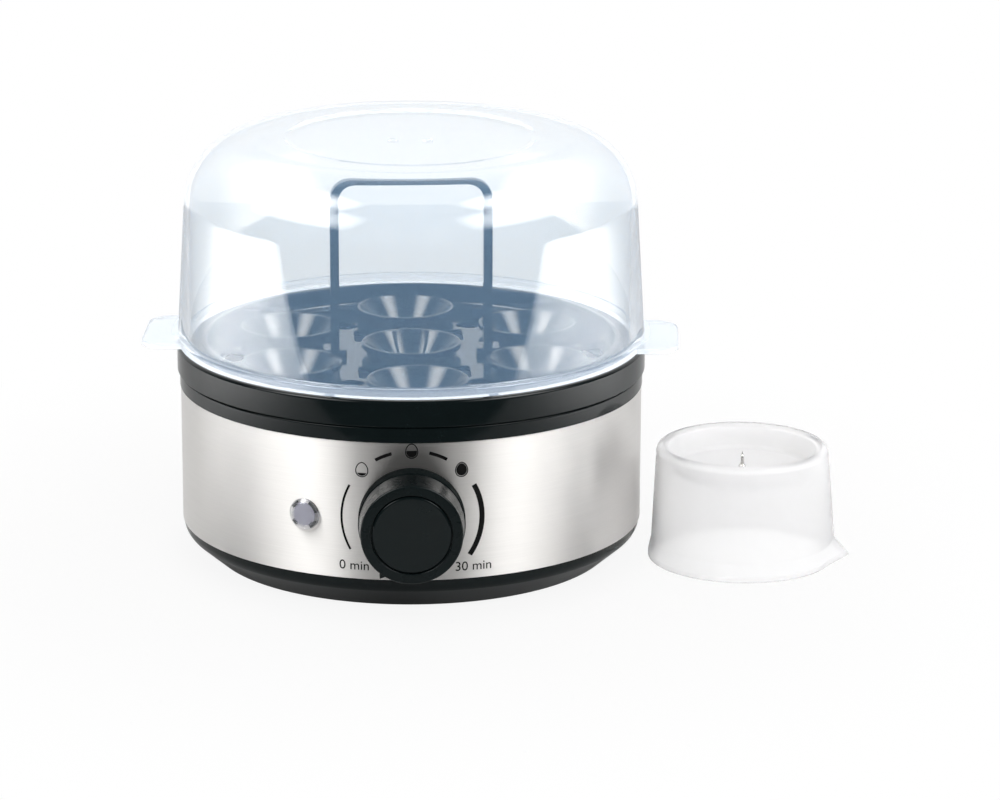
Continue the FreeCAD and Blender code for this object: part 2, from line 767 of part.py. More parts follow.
def make_lamp():
    """Pilot lamp pushed through the band: lens with a bevelled face, spring nut and holder."""
    turn = FreeCAD.Rotation(UPWARD, -number("lamp_turn"))
    on_band = turn.multVec(FreeCAD.Vector(0, -number("body_radius"), number("lamp_height")))
    place = FreeCAD.Placement(on_band, turn.multiply(FRONT_FACING))
    lens = new_body("lamp_lens")
    turn_profile(lens, [
        ("0", "-lens_radius"),
        ("lens_barrel_radius", "-lens_radius"),
        ("lens_barrel_radius", "slip_gap"),
        ("lens_radius", "slip_gap"),
        ("lens_radius", "edge_round"),
        ("lens_radius - edge_round * 1.8", "edge_round * 3"),
        ("0", "edge_round * 3"),
    ])
    lens.Placement = place
    nut = new_body("lamp_nut")
    turn_profile(nut, [
        ("lens_barrel_radius + slip_gap", "-edge_round * 3"),
        ("lens_radius + edge_round", "-edge_round * 3"),
        ("lens_radius + edge_round", "-edge_round * 1.5"),
        ("lens_barrel_radius + slip_gap", "-edge_round * 1.5"),
    ])
    nut.Placement = place
    holder = new_body("lamp_body")
    turn_profile(holder, [
        ("0", "-lens_radius * 4"),
        ("lens_barrel_radius - edge_round", "-lens_radius * 4"),
        ("lens_barrel_radius + slip_gap", "-lens_radius * 3.5"),
        ("lens_barrel_radius + slip_gap", "-lens_radius - slip_gap"),
        ("0", "-lens_radius - slip_gap"),
    ])
    holder.Placement = place


def make_cord_gland():
    """Moulded bushing that snaps into the rear of the band."""
    gland = new_body("cord_gland")
    flange = "gland_neck_radius + shell_wall"
    turn_profile(gland, [
        ("gland_bore_radius", "-shell_wall * 2"),
        ("gland_neck_radius + edge_round", "-shell_wall * 2"),
        (flange, "-shell_wall"),
        ("gland_neck_radius", "-shell_wall"),
        ("gland_neck_radius", "slip_gap"),
        (flange, "slip_gap"),
        (flange, "shell_wall - edge_round", "edge_round"),
        (f"{flange} - edge_round", "shell_wall"),
        ("gland_bore_radius", "shell_wall"),
    ])
    gland.Placement = FreeCAD.Placement(
        FreeCAD.Vector(0, number("body_radius"), number("gland_height")), REAR_FACING)


def make_wiring(pin_tips):
    """Screw terminals on the pan's floor, and the leads to the element, the lamp and the timer."""
    floor = "foot_height + shell_wall + slip_gap"
    block = new_body("terminal_block")
    plan = sketch_in(block, "XY_Plane")
    draw(plan, mirrored([
        ("block_length / 2", "block_depth / 2"),
        ("-block_length / 2", "block_depth / 2"),
    ]))
    extrude(block, plan, "block_height")
    wells = sketch_in(block, "XY_Plane", "block_height")
    for step in (-1, 0, 1):
        draw_circle(wells, f"{step} * block_length / 3", "0", "stud_radius + edge_round")
    extrude(block, wells, "block_height / 2", "Pocket")
    place = FreeCAD.Vector(0, number("block_y"), number(floor))
    block.Placement = FreeCAD.Placement(place, FreeCAD.Rotation())

    deck = number(f"{floor} + block_height / 2")
    block_front = number("block_y - block_depth / 2 - slip_gap")
    routes = []
    for tip, heading in pin_tips:
        knee = tip + heading * number("pin_length / 2")
        low = FreeCAD.Vector(knee.x, block_front - number("block_depth"), deck)
        end = FreeCAD.Vector(knee.x, block_front, deck)
        routes.append([tip + heading * number("slip_gap"), knee, low, end])
    lamp = on_circle("body_radius - lens_radius * 4 - lead_radius", 270 - number("lamp_turn"), "lamp_height")
    case = FreeCAD.Vector(number("timer_screw_x"), number("lead_radius - timer_back"),
                          number("dial_height - timer_half_width + lead_radius * 2"))
    for hand, start in ((-1, lamp), (1, case)):
        side = hand * number("lead_side")
        front = FreeCAD.Vector(side, -number("lead_front"), start.z)
        low = FreeCAD.Vector(side, -number("lead_front"), deck)
        rear = FreeCAD.Vector(side, number("block_y"), deck)
        end = FreeCAD.Vector(hand * number("block_length / 2 + slip_gap"), number("block_y"), deck)
        routes.append([start, front, low, rear, end])
    wires = doc.addObject("Part::Feature", "lead_wires")
    wires.Shape = Part.makeCompound([sweep_lead(route) for route in routes])
    as_node(wires, "lead_wires")


def sweep_lead(points):
    """A round lead along straight runs joined by tangent arcs."""
    edges = []
    start = points[0]
    for before, corner, after in zip(points, points[1:], points[2:]):
        to_before = (before - corner).normalize()
        to_after = (after - corner).normalize()
        shorter = min((before - corner).Length, (after - corner).Length)
        setback = min(shorter / 3, number("lead_bend"))
        first = corner + to_before * setback
        last = corner + to_after * setback
        half_angle = to_before.getAngle(to_after) / 2
        bend = setback * math.tan(half_angle)
        inward = (to_before + to_after).normalize()
        crown = corner + inward * (setback / math.cos(half_angle) - bend)
        edges += [Part.makeLine(start, first), Part.Arc(first, crown, last).toShape()]
        start = last
    edges.append(Part.makeLine(start, points[-1]))
    path = Part.Wire(edges)
    ring = Part.Wire([Part.makeCircle(number("lead_radius"), points[0], points[1] - points[0])])
    return path.makePipeShell([ring], True, False)


def make_egg_tray():
    """Moulded tray: outer skirt, shelf for the lid, dished plate, seven cups and steam openings."""
    body = new_body("egg_tray")
    wall = "tray_wall"
    inner = f"tray_lip_radius - {wall}"
    turn_profile(body, [
        ("0", f"plate_height - {wall}"),
        (f"{inner} - {wall}", f"plate_height - {wall}"),
        (f"{inner} - {wall}", "guide_bottom"),
        (inner, "guide_bottom"),
        (inner, f"plate_height - {wall}"),
        ("tray_lip_radius", f"plate_height - {wall}"),
        ("tray_lip_radius", f"shelf_height - {wall}"),
        (f"tray_skirt_radius - {wall}", f"shelf_height - {wall}"),
        (f"tray_skirt_radius - {wall}", "seam_height + seat_gap"),
        ("tray_skirt_radius", "seam_height + seat_gap"),
        ("tray_skirt_radius", "shelf_height - edge_round", "edge_round"),
        ("tray_skirt_radius - edge_round", "shelf_height"),
        ("tray_lip_radius", "shelf_height"),
        ("tray_lip_radius", "tray_lip_top - edge_round", "edge_round"),
        ("tray_lip_radius - edge_round", "tray_lip_top"),
        (inner, "tray_lip_top"),
        (inner, "plate_height"),
        ("0", "plate_height"),
    ])

    def cup_outside(axis):
        """Funnel under the plate, waist above it and a stepped rim."""
        return [
            (axis, "cup_bottom"),
            (f"{axis} + cup_hole_radius + {wall}", "cup_bottom"),
            (f"{axis} + cup_mouth_radius - {wall} / 2", f"plate_height - {wall}"),
            (f"{axis} + cup_mouth_radius - {wall} / 4", f"cup_rim - {wall} * 1.25"),
            (f"{axis} + cup_rim_radius", f"cup_rim - {wall}"),
            (f"{axis} + cup_rim_radius", "cup_rim"),
            (axis, "cup_rim"),
        ]

    def cup_inside(axis):
        """Conical seat for the egg, open at the bottom."""
        return [
            (axis, f"cup_bottom - {wall}"),
            (f"{axis} + cup_hole_radius", f"cup_bottom - {wall}"),
            (f"{axis} + cup_hole_radius", "cup_bottom"),
            (f"{axis} + cup_mouth_radius", "cup_rim"),
            (f"{axis} + cup_mouth_radius", f"cup_rim + {wall}"),
            (axis, f"cup_rim + {wall}"),
        ]

    turn_profile(body, cup_outside("0"))
    ring = turn_beside_axis(body, cup_outside("cup_circle"), "Revolution")
    repeat_round(body, [ring], 6)
    turn_profile(body, cup_inside("0"), "Groove")
    hollow = turn_beside_axis(body, cup_inside("cup_circle"), "Groove")
    repeat_round(body, [hollow], 6)

    sockets = sketch_in(body, "XY_Plane", f"plate_height - {wall}")
    for side in (0, 180):
        draw(sockets, turned(mirrored([
            ("handle_post_x + handle_strip * 1.3", "handle_depth * 0.75"),
            ("handle_post_x - handle_strip * 1.3", "handle_depth * 0.75"),
        ]), side))
    extrude(body, sockets, f"{wall} + socket_height")

    openings = sketch_in(body, "XY_Plane")
    point = "gap_pocket_reach"
    bend = "gap_pocket_round"
    centre = "gap_pocket_circle"
    for angle in (60, 120, 240, 300):
        draw(openings, turned([
            (f"{centre} + {point} - 1.5 * {bend}", f"-0.866 * {bend}", bend),
            (f"{centre} + {point} - 1.5 * {bend}", f"0.866 * {bend}"),
            (f"{centre} - {point} / 2 + 1.5 * {bend}", f"0.866 * ({point} - {bend})", bend),
            (f"{centre} - {point} / 2", f"0.866 * {point} - 1.732 * {bend}"),
            (f"{centre} - {point} / 2", f"1.732 * {bend} - 0.866 * {point}", bend),
            (f"{centre} - {point} / 2 + 1.5 * {bend}", f"0.866 * ({bend} - {point})"),
        ], angle))
    for side in (0, 180):
        draw(openings, turned(mirrored([
            ("handle_post_x + handle_strip / 2 + slip_gap", "handle_depth / 2 + slip_gap"),
            ("handle_post_x - handle_strip / 2 - slip_gap", "handle_depth / 2 + slip_gap"),
        ]), side))
    extrude(body, openings, "lid_top", "Pocket", backwards=True)
    spoke = sketch_in(body, "XY_Plane")
    draw(spoke, [
        ("oval_circle - oval_half_length", "-oval_half_width", "oval_side_curve"),
        ("oval_circle + oval_half_length", "-oval_half_width", "oval_end_curve"),
        ("oval_circle + oval_half_length", "oval_half_width", "oval_side_curve"),
        ("oval_circle - oval_half_length", "oval_half_width", "oval_end_curve"),
    ])
    draw(spoke, [
        ("rim_hole_inner", "-rim_hole_inner_half"),
        ("rim_hole_corner", "-rim_hole_corner_half", "rim_hole_corner_curve"),
        ("rim_hole_outer", "-rim_hole_outer_half", "rim_hole_outer_curve"),
        ("rim_hole_outer", "rim_hole_outer_half", "rim_hole_corner_curve"),
        ("rim_hole_corner", "rim_hole_corner_half"),
        ("rim_hole_inner", "rim_hole_inner_half", "rim_hole_inner_curve"),
    ])
    repeat_round(body, [extrude(body, spoke, "lid_top", "Pocket", backwards=True)], 6)
    body.Placement = FreeCAD.Placement(FreeCAD.Vector(), FreeCAD.Rotation(UPWARD, number("tray_turn")))


def turn_beside_axis(body, corners, kind):
    """Turn an outline about its own upright first edge, in front of the main axis."""
    sketch = sketch_in(body, "YZ_Plane")
    draw(sketch, corners)
    feature = body.newObject("PartDesign::" + kind, body.Name + "_ring_" + kind.lower())
    feature.Profile = sketch
    feature.ReferenceAxis = (sketch, [f"Edge{len(corners)}"])
    feature.Angle = 360
    return feature


def make_tray_handle():
    """Flat strap bent to an upside-down U, with shoulders that sit on the tray's sockets."""
    body = new_body("tray_handle")
    sketch = sketch_in(body, "XZ_Plane")
    out = "(handle_post_x + handle_strip / 2)"
    into = "(handle_post_x - handle_strip / 2)"
    foot = "plate_height - tray_wall"
    shoulder = "plate_height + socket_height + slip_gap"
    wide = "handle_strip / 3"
    right = [
        (into, foot),
        (out, foot),
        (out, shoulder),
        (f"{out} + {wide}", shoulder),
        (f"{out} + {wide}", f"{shoulder} + {wide}"),
        (out, f"{shoulder} + {wide} * 3"),
        (out, "handle_top - handle_bend", "handle_bend"),
        (f"{out} - handle_bend", "handle_top"),
    ]
    left = [(f"-{x}" if x in (out, into) else f"-({x})", z) for x, z, *bend in reversed(right)]
    left[0] = (*left[0], "handle_bend")
    inner_bend = "handle_bend - handle_bar"
    inside = [
        (f"-{into}", f"handle_top - handle_bar - ({inner_bend})", f"-({inner_bend})"),
        (f"-{into} + {inner_bend}", "handle_top - handle_bar"),
        (f"{into} - ({inner_bend})", "handle_top - handle_bar", f"-({inner_bend})"),
        (into, f"handle_top - handle_bar - ({inner_bend})"),
    ]
    draw(sketch, right + left + inside)
    extrude(body, sketch, "handle_depth", both_ways=True)
    body.Placement = FreeCAD.Placement(FreeCAD.Vector(), FreeCAD.Rotation(UPWARD, number("tray_turn")))


def make_lid():
    """Clear dome with flange, rounded shoulder, stepped top, grip tabs with webs, and two vents."""
    body = new_body("lid")
    seat = "shelf_height + seat_gap"
    spring = "lid_top - lid_shoulder_curve"
    flange_top = f"{seat} + lid_flange_height"
    shoulder = "lid_shoulder_radius - lid_shoulder_curve"
    turn_profile(body, [
        ("lid_foot_radius - lid_wall", seat),
        ("lid_flange_radius", seat),
        ("lid_flange_radius", f"{flange_top} - edge_round", "edge_round"),
        ("lid_flange_radius - edge_round", flange_top),
        ("lid_foot_radius + edge_round", flange_top, "-edge_round"),
        ("lid_foot_radius", f"{flange_top} + edge_round"),
        ("lid_shoulder_radius", spring, "lid_shoulder_curve"),
        (shoulder, "lid_top"),
        ("lid_step_radius", "lid_top"),
        ("lid_step_radius - lid_step", "lid_top - lid_step"),
        ("0", "lid_top - lid_step"),
        ("0", "lid_top - lid_step - lid_wall"),
        ("lid_step_radius - lid_step / 2", "lid_top - lid_step - lid_wall"),
        ("lid_step_radius + lid_step / 2", "lid_top - lid_wall"),
        (shoulder, "lid_top - lid_wall", "lid_wall - lid_shoulder_curve"),
        ("lid_shoulder_radius - lid_wall", spring),
    ])
    root = "(lid_foot_radius - lid_wall / 2)"
    straight = "(tab_reach - tab_round)"
    tabs = sketch_in(body, "XY_Plane", seat)
    for side in (0, 180):
        draw(tabs, turned([
            (root, "-tab_half_width"),
            (straight, "-tab_half_width", "tab_round"),
            ("tab_reach", "tab_round - tab_half_width"),
            ("tab_reach", "tab_half_width - tab_round", "tab_round"),
            (straight, "tab_half_width"),
            (root, "tab_half_width"),
        ], side))
    extrude(body, tabs, "tab_height")
    web = turn_profile(body, [
        ("lid_foot_radius - edge_round", f"{seat} + tab_height / 2"),
        ("lid_flange_radius - edge_round / 2", f"{seat} + tab_height / 2"),
        ("lid_flange_radius - edge_round / 2", flange_top, "web_curve"),
        ("lid_foot_radius - edge_round", "web_top"),
    ], angle=number("web_half_angle") * 2)
    repeat_round(body, [web], 2)
    vents = sketch_in(body, "XY_Plane", "lid_top")
    for side in ("-vent_x", "vent_x"):
        draw_circle(vents, side, "vent_y", "vent_radius")
    extrude(body, vents, "lid_step + lid_wall * 2", "Pocket")
    body.Placement = FreeCAD.Placement(FreeCAD.Vector(), FreeCAD.Rotation(UPWARD, number("lid_turn")))


def make_measuring_cup():
    """Clear cup standing on its mouth, with a pouring lip and a recessed bottom for the needle."""
    standing_at = FreeCAD.Vector(number("measure_x"), number("measure_y"), 0)
    place = FreeCAD.Placement(standing_at, FreeCAD.Rotation())
    body = new_body("measuring_cup")
    wall = "measure_wall"
    flare = "measure_wall * 4"
    ridge = "(measure_top_radius + measure_recess_radius) / 2"
    crown = "(measure_top_radius - measure_recess_radius) / 2"
    turn_profile(body, [
        (f"measure_mouth_radius - {wall}", "0"),
        ("measure_mouth_radius", "0"),
        ("measure_mouth_radius", wall, "-measure_mouth_radius / 2"),
        (f"measure_mouth_radius - {wall} * 0.6", flare),
        ("measure_top_radius", f"measure_height - {crown}", crown),
        (ridge, "measure_height", crown),
        ("measure_recess_radius", f"measure_height - {crown}"),
        (f"measure_recess_radius - {wall}", "measure_floor"),
        ("0", "measure_floor"),
        ("0", f"measure_floor - {wall}"),
        (f"measure_recess_radius - {wall} / 2", f"measure_floor - {wall}"),
        (f"measure_recess_radius + {wall}", f"measure_height - {crown}", f"{wall} - {crown}"),
        (ridge, f"measure_height - {wall}", f"{wall} - {crown}"),
        (f"measure_top_radius - {wall}", f"measure_height - {crown}"),
        (f"measure_mouth_radius - {wall} * 1.6", flare),
    ])
    pour_lip(body, "0", "AdditiveLoft")
    pour_lip(body, wall, "SubtractiveLoft")
    body.Placement = place

    needle = new_body("pricker_needle")
    turn_profile(needle, [
        ("0", "measure_floor + slip_gap"),
        ("needle_radius * 4", "measure_floor + slip_gap"),
        ("needle_radius * 3", "measure_floor + slip_gap + needle_radius * 2"),
        ("needle_radius", "measure_floor + slip_gap + needle_radius * 3"),
        ("needle_radius", "needle_top - needle_radius * 4"),
        ("0", "needle_top"),
    ])
    needle.Placement = place


def pour_lip(body, inset, kind):
    """The pouring lip: a beak that grows out of the wall, or its hollow, which is set in by the wall."""
    mouth = (f"-({inset})", "measure_lip_reach", "measure_lip_half_width")
    wall_end = (f"measure_lip_height - 2 * ({inset})", "measure_top_radius + measure_wall * 0.6",
                "measure_lip_top_half")
    back = "measure_top_radius - measure_wall * 2"
    sections = []
    for level, reach, half_width in (mouth, wall_end):
        sketch = sketch_in(body, "XY_Plane", level)
        draw(sketch, [
            (back, f"-{half_width}"),
            (f"{reach} - ({inset})", "-measure_lip_tip_half"),
            (f"{reach} - ({inset})", "measure_lip_tip_half"),
            (back, half_width),
        ])
        sections.append(sketch)
    loft = body.newObject("PartDesign::" + kind, body.Name + "_lip")
    loft.Profile = sections[0]
    loft.Sections = sections[1:]
    loft.Ruled = True


def check_and_export():
    """Stop on any failed object, then write one file per sub-part."""
    doc.recompute()
    failed = [item.Name for item in doc.Objects if {"Invalid", "Error"} & set(item.State)]
    failed += [node.Label for node in nodes if node.Shape.isNull() or not node.Shape.isValid()]
    if failed:
        raise RuntimeError(f"these failed: {failed}")
    os.makedirs("parts", exist_ok=True)
    for node in nodes:
        node.Shape.exportStep(f"parts/{node.Label}.step")


make_bottom_pan()
make_feet()
make_pan_screws()
make_steel_band()
make_base_collar()
make_heating_plate()
make_gasket()
pin_tips = make_element()
make_clamp()
make_thermostat()
make_fuse()
make_timer()
make_knob()
make_lamp()
make_cord_gland()
make_wiring(pin_tips)
make_egg_tray()
make_tray_handle()
make_lid()
make_measuring_cup()
check_and_export()
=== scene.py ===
import json
import math

import bmesh
import bpy
from bpy.props import FloatProperty, FloatVectorProperty, PointerProperty
from mathutils import Matrix, Vector


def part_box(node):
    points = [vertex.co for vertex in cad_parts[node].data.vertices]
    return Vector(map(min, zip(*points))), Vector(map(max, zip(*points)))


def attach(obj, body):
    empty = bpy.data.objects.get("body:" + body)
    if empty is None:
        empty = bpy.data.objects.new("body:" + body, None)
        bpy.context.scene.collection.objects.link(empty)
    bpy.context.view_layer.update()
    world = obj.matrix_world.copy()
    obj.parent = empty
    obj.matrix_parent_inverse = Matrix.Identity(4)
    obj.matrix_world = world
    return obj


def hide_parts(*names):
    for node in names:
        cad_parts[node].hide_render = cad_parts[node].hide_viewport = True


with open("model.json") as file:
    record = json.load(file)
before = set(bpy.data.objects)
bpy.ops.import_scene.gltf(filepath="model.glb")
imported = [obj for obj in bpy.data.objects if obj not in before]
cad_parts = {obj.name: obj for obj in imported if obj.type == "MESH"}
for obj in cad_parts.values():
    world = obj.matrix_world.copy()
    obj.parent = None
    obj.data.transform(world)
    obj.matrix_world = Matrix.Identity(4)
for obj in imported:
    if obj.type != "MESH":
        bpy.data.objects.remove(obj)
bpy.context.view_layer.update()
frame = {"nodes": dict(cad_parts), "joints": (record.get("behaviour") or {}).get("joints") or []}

bl_info = {
    "name": "Egg cooker",
    "version": (1, 0, 0),
    "blender": (4, 5, 0),
    "location": "View3D > Sidebar > Egg cooker",
    "description": "Builds the visible pieces of a seven-egg steam cooker over its solid model",
    "category": "Object",
}

# The frame's own measures, in metres. The cooker's axis is Z, and its knob faces -Y.
BAND_LOW, BAND_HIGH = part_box("steel_band")
PAN_LOW, PAN_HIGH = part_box("bottom_pan")
COLLAR_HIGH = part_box("base_collar")[1]
DISH_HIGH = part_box("heating_plate")[1]
TRAY_LOW, TRAY_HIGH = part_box("egg_tray")
STRAP_LOW, STRAP_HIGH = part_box("tray_handle")
LID_LOW, LID_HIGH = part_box("lid")
KNOB_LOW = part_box("knob")[0]
GLAND_LOW, GLAND_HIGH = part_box("cord_gland")
CUP_LOW, CUP_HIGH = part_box("measuring_cup")
NEEDLE_LOW, NEEDLE_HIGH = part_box("pricker_needle")
DIAL_JOINT = next(joint for joint in frame["joints"] if joint["name"] == "knob_turn")
DIAL_HEIGHT = DIAL_JOINT["pos_m"][2]

UP = Vector((0.0, 0.0, 1.0))
ORIGIN = (0.0, 0.0, 0.0)
FULL_TURN = 2.0 * math.pi
QUARTER_TURN = math.pi / 2.0
BOTH_SIDES = (-1.0, 1.0)
# Steps of a full turn: round the cooker, round small pieces and round an egg cup.
LARGE_STEPS, SMALL_STEPS, CUP_STEPS = 224, 96, 72
# Roundings of moulded edges, from the sharpest to the softest, and the gap of a slip fit.
EASE, FINE_EDGE, SOFT_EDGE = 0.0003, 0.0005, 0.0009
SLIP = 0.0001
# From this radius on, a rounding is cut into finer steps.
WIDE_ROUNDING = 0.002
# Name of the map along which the steel is brushed.
BRUSHING = "brushing"
# The ink's distance from the steel, and its thickness.
PRINT_LIFT, PRINT_DEPTH = 0.00003, 0.00005


def length(default, description):
    return FloatProperty(description=description, default=default, precision=5, unit="LENGTH")


def angle(degrees, description):
    return FloatProperty(description=description, default=math.radians(degrees), subtype="ANGLE")


def colour(default, description):
    return FloatVectorProperty(description=description, default=default, size=3, min=0.0, max=1.0,
                               subtype="COLOR")


class BodySizes(bpy.types.PropertyGroup):
    """Base of the cooker: pan, steel band, collar and water dish."""
    band_radius: length(BAND_HIGH.x, "Outside of the steel band")
    band_wall: length(0.0006, "Thickness of the steel")
    shell_wall: length(0.0022, "Thickness of the black mouldings")
    skirt_foot: length(0.077, "Radius of the pan where its taper meets the floor")
    crease_radius: length(0.0882, "Radius of the pan where the taper starts")
    crease_height: length(0.0116, "Height at which the taper starts")
    collar_radius: length(COLLAR_HIGH.x, "Outside of the collar above the steel")
    mouth_radius: length(0.0795, "Inside of the collar")
    ledge_radius: length(0.072, "Inside of the ledge that carries the dish")
    ledge_height: length(0.0668, "Top of the ledge")
    dish_floor: length(0.060, "Height of the dish's floor")
    dish_floor_radius: length(0.060, "Radius of the dish's floor")
    dish_brim: length(0.070, "Radius where the dish's wall meets its rim")
    dish_wall: length(0.0008, "Thickness of the dish")


class TraySizes(bpy.types.PropertyGroup):
    """Egg tray and its carrying strap."""
    turn: angle(2.5, "How far the tray is turned on the base")
    wall: length(0.002, "Thickness of the moulding")
    skirt_radius: length(TRAY_HIGH.y, "Outside of the tray")
    skirt_foot: length(0.0747, "Lower edge of the outer skirt")
    shelf: length(0.0846, "Height of the shelf under the lid")
    lip_radius: length(0.0805, "Outside of the lip that centres the lid")
    plate: length(0.0786, "Height of the plate between the cups")
    cup_circle: length(0.054, "Radius of the circle of outer cups")
    cup_rim: length(0.0836, "Height of the cups' rims")
    cup_rim_radius: length(0.0192, "Outside of a cup's rim")
    cup_mouth: length(0.0182, "Inside of a cup at its rim")
    cup_hole: length(0.008, "Radius of the hole in a cup's bottom")
    strap_post: length(0.0295, "Distance of the strap's posts from the axis")
    strap_width: length(0.0034, "Thickness of the posts")
    strap_bar: length(0.0024, "Thickness of the bar on top")
    strap_depth: length(0.0066, "Depth of the strap, front to back")
    strap_bend: length(0.009, "Outer radius of the strap's bends")


class LidSizes(bpy.types.PropertyGroup):
    """Clear lid."""
    turn: angle(-2.8, "How far the lid is turned on the tray")
    wall: length(0.002, "Thickness of the lid")
    flange_radius: length(0.0897, "Outside of the flange")
    flange_height: length(0.0038, "Height of the flange")
    foot_radius: length(0.0872, "Outside of the wall above the flange")
    shoulder_radius: length(0.0866, "Outside of the wall below the shoulder")
    shoulder_curve: length(0.026, "Radius of the shoulder")
    step_radius: length(0.047, "Radius of the step in the top")
    step: length(0.0011, "Depth of the step in the top")
    vent_radius: length(0.002, "Radius of the two steam vents")
    vent_apart: length(0.0066, "Distance of the vents from the middle, sideways")
    vent_forward: length(0.004, "Distance of the vents from the middle, forwards")
    tab_half_width: length(0.022, "Half of a grip tab's width")
    tab_round: length(0.0095, "Corner radius of a grip tab")
    tab_height: length(0.0022, "Thickness of a grip tab")
    web_top: length(0.099, "Height at which the web over a tab runs out")
    web_reach: length(0.0026, "How far a web stands out from the wall")
    web_half_angle: angle(15.0, "Half of the angle that a web covers")


class DialSizes(bpy.types.PropertyGroup):
    """Knob, dial print and pilot lamp."""
    knob_gap: length(0.0006, "Gap between the knob and the steel")
    knob_back_radius: length(0.0198, "Radius of the knob at the steel")
    grip_back_radius: length(0.0195, "Radius of the grip at its skirt")
    knob_front_radius: length(0.0188, "Radius of the knob at its face")
    skirt_depth: length(0.0075, "Depth of the dull skirt behind the grip")
    knob_edge: length(0.0009, "Rounding of the knob's front edge")
    face_radius: length(0.0146, "Radius of the inset face")
    pointer_turn: angle(235.0, "Where the pointer stands at rest, from the right, anticlockwise")
    print_radius: length(0.0260, "Radius of the printed scale")
    lamp_turn: angle(26.4, "How far left of the knob the lamp sits on the band")
    lamp_height: length(0.0387, "Height of the lamp's middle")
    lens_radius: length(0.006, "Radius of the lamp's lens")


class MeasureSizes(bpy.types.PropertyGroup):
    """Measuring cup with its pricker, standing on its mouth."""
    wall: length(0.0018, "Thickness of the cup")
    mouth_radius: length(0.036, "Outside of the mouth")
    top_radius: length(0.0332, "Outside of the wall below the rounded top")
    floor: length(0.0355, "Height of the floor of the recess")
    recess_radius: length(0.0285, "Radius of the recess")
    lip_height: length(0.015, "How far the pouring lip runs up the wall")
    lip_half_angle: angle(24.0, "Half of the angle that the lip covers")


class Finishes(bpy.types.PropertyGroup):
    """Colours of the cooker."""
    black: colour((0.0030, 0.0060, 0.0064), "Moulded black plastic")
    steel: colour((0.80, 0.785, 0.765), "Steel of the band")
    haze: colour((0.36, 0.63, 1.0), "Light that the lid's plastic scatters")
    clear: colour((1.0, 0.962, 0.895), "Light that the lid's plastic lets through")
    ink: colour((0.004, 0.004, 0.004), "Print on the steel")


SETTINGS = {
    "cooker_body": BodySizes,
    "cooker_tray": TraySizes,
    "cooker_lid": LidSizes,
    "cooker_dial": DialSizes,
    "cooker_measure": MeasureSizes,
    "cooker_finish": Finishes,
}


# Modelling

def edges_of(verts):
    return list({edge for vert in verts for edge in vert.link_edges})


def verts_in(items):
    return [item for item in items if isinstance(item, bmesh.types.BMVert)]


def even_turns(count, first=0.0):
    """Turns spread evenly round, in radians, from a first one in degrees."""
    return [math.radians(first + 360.0 / count * step) for step in range(count)]


def polar(radius, turn):
    return radius * math.cos(turn), radius * math.sin(turn)


def round_corner(bm, vert, radius):
    """Replace one corner of a wire by an arc of that radius."""
    ends = [edge.other_vert(vert).co - vert.co for edge in vert.link_edges]
    opening = ends[0].angle(ends[1])
    step = math.radians(6.0 if radius > WIDE_ROUNDING else 15.0)
    bmesh.ops.bevel(
        bm, geom=[vert], offset=radius / math.tan(opening / 2.0), offset_type="OFFSET",
        segments=max(2, math.ceil((math.pi - opening) / step)), profile=0.5, affect="VERTICES",
        material=-1)


def wire(bm, corners, closed=True):
    """A wire in the XZ plane. Each corner is (across, up), or (across, up, rounding)."""
    old = set(bm.verts)
    verts = [bm.verts.new((corner[0], 0.0, corner[1])) for corner in corners]
    for start, end in zip(verts, verts[1:]):
        bm.edges.new((start, end))
    if closed:
        bm.edges.new((verts[-1], verts[0]))
    for vert, corner in zip(verts, corners):
        if len(corner) == 3:
            round_corner(bm, vert, corner[2])
    return [vert for vert in bm.verts if vert not in old]


def turn_outline(bm, corners, steps=LARGE_STEPS, centre=(0.0, 0.0)):
    """Spin an outline about an upright axis; one that starts and ends on the axis is open there."""
    on_axis = corners[0][0] == 0.0 and corners[-1][0] == 0.0
    verts = wire(bm, corners, closed=not on_axis)
    middle = Vector((centre[0], centre[1], 0.0))
    bmesh.ops.translate(bm, verts=verts, vec=middle)
    bmesh.ops.spin(bm, geom=verts + edges_of(verts), cent=middle, axis=UP, angle=FULL_TURN,
                   steps=steps, use_merge=True)


def turned(corners, steps=LARGE_STEPS):
    bm = bmesh.new()
    turn_outline(bm, corners, steps)
    return tidy(bm)


def rod(radius, low, high):
    """Outline of a plain round rod, for spinning."""
    return [(0.0, low), (radius, low), (radius, high), (0.0, high)]


def tidy(bm):
    """Close seams and poles, and point the faces outwards."""
    bmesh.ops.remove_doubles(bm, verts=bm.verts, dist=1e-6)
    bmesh.ops.dissolve_degenerate(bm, edges=bm.edges, dist=1e-7)
    bmesh.ops.recalc_face_normals(bm, faces=bm.faces)
    return bm


def swing(bm, verts, turn, axis):
    """Turn vertices about an axis through the origin."""
    bmesh.ops.rotate(bm, verts=verts, cent=ORIGIN, matrix=Matrix.Rotation(turn, 3, axis))


def push_out(bm, faces, way):
    """Extrude faces by a vector."""
    made = bmesh.ops.extrude_face_region(bm, geom=faces)["geom"]
    bmesh.ops.translate(bm, verts=verts_in(made), vec=way)


def rectangle(near, far, half, rounding):
    """Corners of a rectangle in plan, from near to far along X and half to either side."""
    corners = ((near, -half), (far, -half), (far, half), (near, half))
    return [(*corner, rounding) for corner in corners]


def slab(bm, corners, low, high, turn=0.0):
    """An upright prism over an outline given in plan as (x, y) or (x, y, rounding)."""
    verts = wire(bm, corners)
    face = bmesh.ops.contextual_create(bm, geom=edges_of(verts))["faces"]
    swing(bm, verts, -QUARTER_TURN, "X")
    bmesh.ops.scale(bm, verts=verts, vec=(1.0, -1.0, 1.0))
    swing(bm, verts, turn, "Z")
    bmesh.ops.translate(bm, verts=verts, vec=UP * low)
    push_out(bm, face, UP * (high - low))


